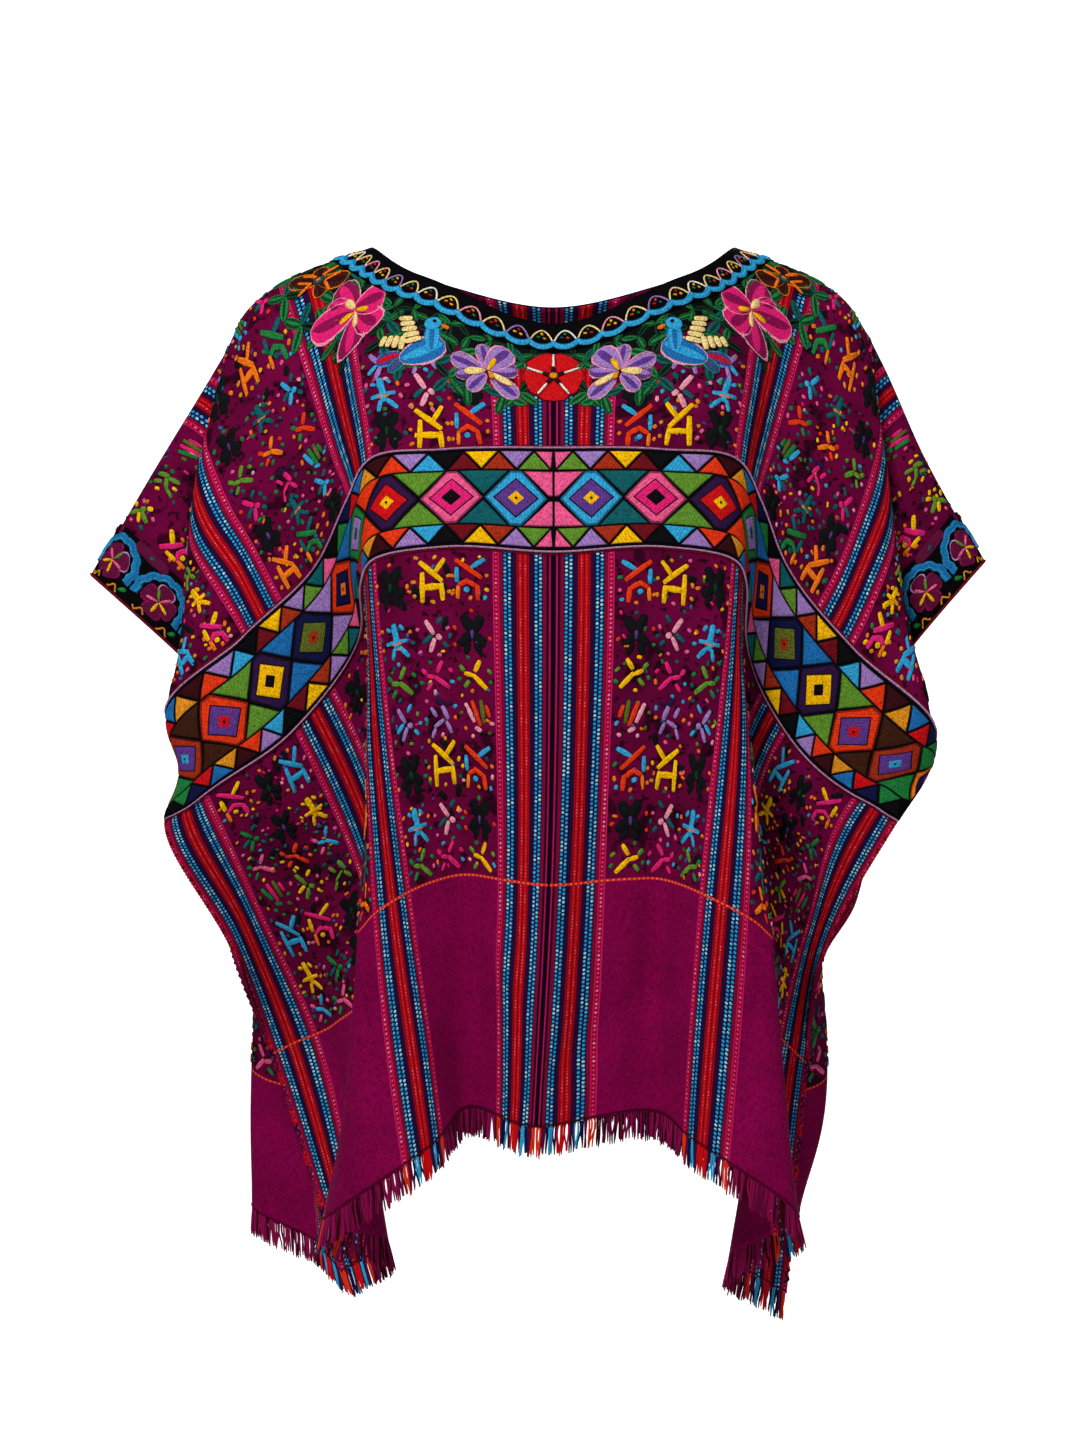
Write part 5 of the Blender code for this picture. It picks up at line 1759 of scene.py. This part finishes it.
    def leaf(self, length: float, turn: float, tone: int) -> tuple:
        """One edged leaf with its light midrib, from its root."""
        body, rim = ((Y.FOREST, Y.GREEN), (Y.GREEN, Y.FOREST), (Y.FOREST, Y.BLACK),
                     (Y.TEAL, Y.FOREST))[tone % 4]
        return 0, 0, turn, petal(length, length * 0.46, 1.15, 0.1), EDGED, [body, rim, rim], -0.1

    def build(self, face: Face, yarn: bpy.types.Material) -> bpy.types.Object:
        """Makes the whole spray on one face."""
        work = Needlework(self.drape, face, base=0.3)
        drop = face.neck_depth - Face.FRONT.neck_depth
        ring = NeckRing(self.drape)

        def moved(x: float, y: float) -> tuple[float, float]:
            """A place of the front's, moved with this face's neck edge."""
            return x, y + drop * max(0.0, 1 - x / self.neck_reach)

        for side in Side:
            s = side.value
            for turn in np.linspace(0.0, 0.97, 20):
                at = ring.spot(face, s * turn, 28)
                work.patch(capsule(22, 21), SATIN, at, 0.0, [Y.BLACK], 12, lift=-0.1)
            for k, turn in enumerate(np.linspace(0.06, 0.94, 15)):
                at = ring.spot(face, turn, 27.0 + 3.0 * (k % 2))
                for m in range(3):
                    self.spray(work, at, s, [self.leaf(9.5, 0.4 + 2.3 * k + 2.1 * m, tone=m)])
            for k, at in enumerate(self.leaf_places):
                for m in range(4):
                    turn = 0.6 + 1.9 * k + m * 1.55
                    leaf = self.leaf(11.5 + 1.5 * ((k + m) % 3), turn, tone=k + m)
                    self.spray(work, moved(*at), s, [leaf])
            for at, parts in zip(self.places, (self.orchid(), self.bird(), self.lily(), self.thistle())):
                self.spray(work, moved(*at), s, parts)
        self.spray(work, (0.0, self.rose_down + drop), 1, self.rose())
        return work.piece(f"yoke_garden_{face.value}", yarn)


# Seams and fringe


@dataclass
class Seams:
    """The centre joins, the whip-stitched side seams, edge stitches and the line above the fringe."""

    drape: Drape

    def build(self, face: Face, yarn: bpy.types.Material) -> bpy.types.Object:
        """Makes the seams of one face."""
        work = Needlework(self.drape, face)
        start = face.neck_depth + 24
        for low, high in ((start, BAND_TOP - 1.5), (BAND_BOTTOM + 1.5, LENGTH - 1)):
            vs = np.linspace(low, high, int((high - low) / 3))
            work.cord(np.zeros_like(vs), vs, 1.2, 0.5, Y.BLACK)
        us = np.linspace(-HALF_WIDTH + 1, HALF_WIDTH - 1, 380)
        work.cord(us, np.full_like(us, LENGTH - 1.2), 0.9, 0.4, Y.MAROON)
        for side in Side:
            s = side.value
            for k, v in enumerate(np.arange(face.trim_length + 2, UNDERARM, 2.6)):
                work.patch(capsule(4.0, 1.9), STITCH, (s * (HALF_WIDTH - 1.4), v), 0.35 * s,
                           [(Y.RED, Y.HOT_PINK, Y.RED, Y.WINE)[k % 4], Y.MAROON], 8)
            for k, v in enumerate(np.arange(UNDERARM + 1, LENGTH - 6, 3.1)):
                tone = (Y.RED, Y.CLARET, Y.MAGENTA, Y.RED, Y.NAVY, Y.CLARET)[k // 3 % 6]
                work.patch(capsule(5.2, 1.7), STITCH, (s * (HALF_WIDTH - 2.0), v), 0.7 * s * (-1) ** k,
                           [tone, Y.MAROON], 8, lift=0.2)
        return work.piece(f"seams_{face.value}", yarn)


@dataclass
class Fringe:
    """The cut warp ends under one hem of one panel, as fine tapered strands."""

    drape: Drape
    length: float = 20.0
    pitch: float = 1.1
    bands: tuple = ((3.7, Y.RED), (6.4, Y.PLUM), (9.4, Y.SKY), (12.2, Y.NAVY),
                    (15.0, Y.CLARET), (GROUP_REACH, Y.VERMILION))

    def build(self, face: Face, side: Side, yarn: bpy.types.Material) -> bpy.types.Object:
        """Makes one run of fringe."""
        rng = np.random.default_rng(31 + side.value + 5 * (face is Face.BACK))
        bm = bmesh.new()
        layer = bm.loops.layers.uv.new("flat")
        tones = bm.loops.layers.float_color.new("yarn")
        steps = np.linspace(0, 1, 6)
        for u in np.arange(1.2, HALF_WIDTH - 0.8, self.pitch):
            u = side.value * u
            reach = min(abs(abs(u) - c) for c in GROUP_CENTRES)
            tone = (Y.CLARET, Y.MAGENTA, Y.MAGENTA, Y.MAROON)[int(rng.integers(4))]
            if reach < GROUP_REACH:
                tone = next(tone for edge, tone in self.bands if reach < edge)
            tuft = math.sin(u * 0.83) + math.sin(u * 0.37 + 1.0)
            drop = self.length * (0.91 + 0.025 * tuft + rng.uniform(-0.1, 0.04)) + 1.5
            lean, out = 0.45 * math.cos(u * 0.83) + rng.normal(0, 0.3), rng.normal(0, 0.9)
            us = u + lean * steps**2 + rng.normal(0, 0.55) * np.sin(steps * math.pi * 1.6)
            line = self.drape.place(face, us, LENGTH - 1.5 + drop * steps, -0.8 + out * steps)
            self.strand(bm, line, 0.64 * MM * (1.0 - 0.4 * steps**5), tone, layer, tones)
        mesh = bpy.data.meshes.new(f"fringe_yarns_{face.value}_{side.word}")
        bm.normal_update()
        bm.to_mesh(mesh)
        bm.free()
        mesh.materials.append(yarn)
        obj = bpy.data.objects.new(mesh.name, mesh)
        bpy.context.scene.collection.objects.link(obj)
        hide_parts(f"fringe_{face.value}_{side.word}")
        return obj

    def strand(self, bm: bmesh.types.BMesh, line: np.ndarray, radii: np.ndarray, tone: Yarn,
               layer: object, tones: object) -> None:
        """One four-sided tapered strand along a line of points.

        Args:
            bm: the mesh it is added to.
            line: its points, m.
            radii: its half width at each, m.
            tone: its colour.
            layer: the mesh's flat places.
            tones: the mesh's yarn colours.
        """
        run = line[-1] - line[0]
        run /= np.linalg.norm(run)
        aside = np.cross(run, (0.0, 1.0, 0.0))
        aside /= np.linalg.norm(aside)
        outward = np.cross(aside, run)
        rings = []
        for point, radius in zip(line, radii):
            rings.append([bm.verts.new(point + radius * d) for d in (aside, outward, -aside, -outward)])
        made = []
        for upper, lower in zip(rings, rings[1:]):
            for k in range(4):
                made.append(bm.faces.new((upper[k], upper[(k + 1) % 4], lower[(k + 1) % 4], lower[k])))
        made += [bm.faces.new(rings[0][::-1]), bm.faces.new(rings[-1])]
        for face in made:
            for loop in face.loops:
                loop[layer].uv = (0.0, float((loop.vert.co - rings[0][0].co).length))
                loop[tones] = tone.value


# The studio


@dataclass
class Studio:
    """A pale sweep, soft lights and the camera at the photograph's viewing angle; sizes in m."""

    distance: float = 2.4
    height: float = -0.313
    aside: float = -0.0066
    frame_tall: float = 0.956
    sensor: float = 36.0
    floor: float = -1.35
    half_wide: float = 8.0
    near_edge: float = -5.5
    run: float = 14.0
    bend_from: float = 4.0
    bend: float = 1.5
    glow_from: float = 2.2
    glow_blend: float = 1.6
    room: float = 0.07

    def sweep(self) -> None:
        """The floor and the far wall that it curves up into, where it begins to glow."""
        bm = bmesh.new()
        bmesh.ops.create_grid(bm, x_segments=4, y_segments=40, size=1.0)
        for vert in bm.verts:
            x, run = vert.co.x * self.half_wide, (vert.co.y + 1) * (self.run / 2) + self.near_edge
            turn = min(max((run - self.bend_from) / self.bend, 0.0), math.pi / 2)
            rest = max(run - self.bend_from - self.bend * math.pi / 2, 0.0)
            y = min(run, self.bend_from) + self.bend * math.sin(turn)
            z = self.bend * (1 - math.cos(turn)) + rest
            vert.co = Vector((x, y, z + self.floor))
        mesh = bpy.data.meshes.new("backdrop")
        bm.normal_update()
        bm.to_mesh(mesh)
        bm.free()
        mesh.shade_smooth()
        g = Graph("pale_paper")
        grain = g.noise(30.0, 2.0)
        colour = g.mix(grain, (0.86, 0.86, 0.87, 1), (0.9, 0.9, 0.905, 1))
        where = g.node("ShaderNodeTexCoord", out="Object")
        far = g.node("ShaderNodeSeparateXYZ", {}, {"Vector": where}, "Y")
        glow = g.mix(far.above(self.glow_from, self.glow_blend), (0.04, 0.04, 0.04, 1), (0.8, 0.8, 0.8, 1))
        mesh.materials.append(g.finish(colour, 0.9, None, glow=glow))
        obj = bpy.data.objects.new("backdrop", mesh)
        bpy.context.scene.collection.objects.link(obj)

    def light(self, name: str, place: tuple, aim: tuple, size: float, power: float, tint: tuple) -> None:
        """One soft area light.

        Args:
            name: its name.
            place: where it hangs, m.
            aim: what it points at, m.
            size: its disk's width, m.
            power: in watts.
            tint: its colour.
        """
        data = bpy.data.lights.new(name, "AREA")
        data.shape, data.size, data.energy, data.color = "DISK", size, power, tint
        obj = bpy.data.objects.new(name, data)
        obj.location = place
        obj.rotation_euler = (Vector(aim) - Vector(place)).to_track_quat("-Z", "Y").to_euler()
        bpy.context.scene.collection.objects.link(obj)

    def build(self) -> None:
        """Sets everything up."""
        scene = bpy.context.scene
        scene.view_settings.view_transform = "Standard"
        world = bpy.data.worlds.new("soft_room")
        world.use_nodes = True
        background = world.node_tree.nodes["Background"]
        background.inputs[0].default_value = (1.0, 1.0, 1.0, 1)
        background.inputs[1].default_value = self.room
        scene.world = world
        self.sweep()
        self.light("key", (-0.9, -2.5, 1.9), (0, 0, -0.3), 0.9, 124, (1.0, 0.98, 0.96))
        self.light("fill", (1.6, -2.6, 0.4), (0, 0, -0.4), 1.4, 11, (0.97, 0.98, 1.0))
        self.light("top", (0.0, -0.4, 2.2), (0, 0, -0.2), 1.6, 12, (1, 1, 1))
        self.light("back", (0.7, 3.0, 0.9), (0, 0, -0.3), 1.6, 60, (1, 1, 1))
        data = bpy.data.cameras.new("camera")
        data.sensor_fit = "AUTO"
        data.sensor_width = self.sensor
        data.lens = self.sensor * self.distance / self.frame_tall
        data.clip_start, data.clip_end = 0.05, 40
        camera = bpy.data.objects.new("camera", data)
        camera.location = (self.aside, -self.distance, self.height)
        camera.rotation_euler = (math.pi / 2, 0, 0)
        scene.collection.objects.link(camera)
        scene.camera = camera


def main() -> None:
    """Builds the blouse class by class and reports each piece."""
    logging.basicConfig(level=logging.INFO, format="%(message)s")
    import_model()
    drape = Drape()
    cloth, cotton = LoomCloth().material(), BlackCloth().material()
    stitched, plain = StitchedYarn().material(), PlainYarn().material()
    Studio().build()

    panels = Panels(drape).build(cloth)
    ring, band, trim = NeckRing(drape), ChestBand(drape), ArmholeTrim(drape)
    collar = ring.build(cotton)
    bands = {face: band.build(face, cotton) for face in Face}
    trims = {side: trim.build(side, cotton) for side in Side}
    brocade, garden, seams, fringe = Brocade(drape), YokeGarden(drape), Seams(drape), Fringe(drape)
    figures = {(face, side): brocade.build(face, side, stitched) for face in Face for side in Side}
    scallops = [ring.dress(face, stitched) for face in Face]
    diamonds = {face: band.dress(face, stitched) for face in Face}
    arches = [trim.dress(face, stitched) for face in Face]
    gardens = [garden.build(face, stitched) for face in Face]
    joins = [seams.build(face, plain) for face in Face]
    ends = {(face, side): fringe.build(face, side, plain) for face in Face for side in Side}

    pieces = [*panels.values(), collar, *bands.values(), *trims.values(), *figures.values(), *scallops,
              *diamonds.values(), *arches, *gardens, *joins, *ends.values()]
    for piece in pieces:
        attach(piece, "root")
        LOG.info("%s: %d faces", piece.name, len(piece.data.polygons))

    hole = sum(face.neck_depth for face in Face) * NECK_HALF_WIDTH * NECK_AREA_SHARE * MM * MM
    for side, panel in panels.items():
        own = [figures[face, side] for face in Face] + [ends[face, side] for face in Face]
        extra = [*gardens, *joins] if side is Side.LEFT else []
        0.383 * 1.224 - hole
        own + extra


if __name__ == "__main__":
    main()
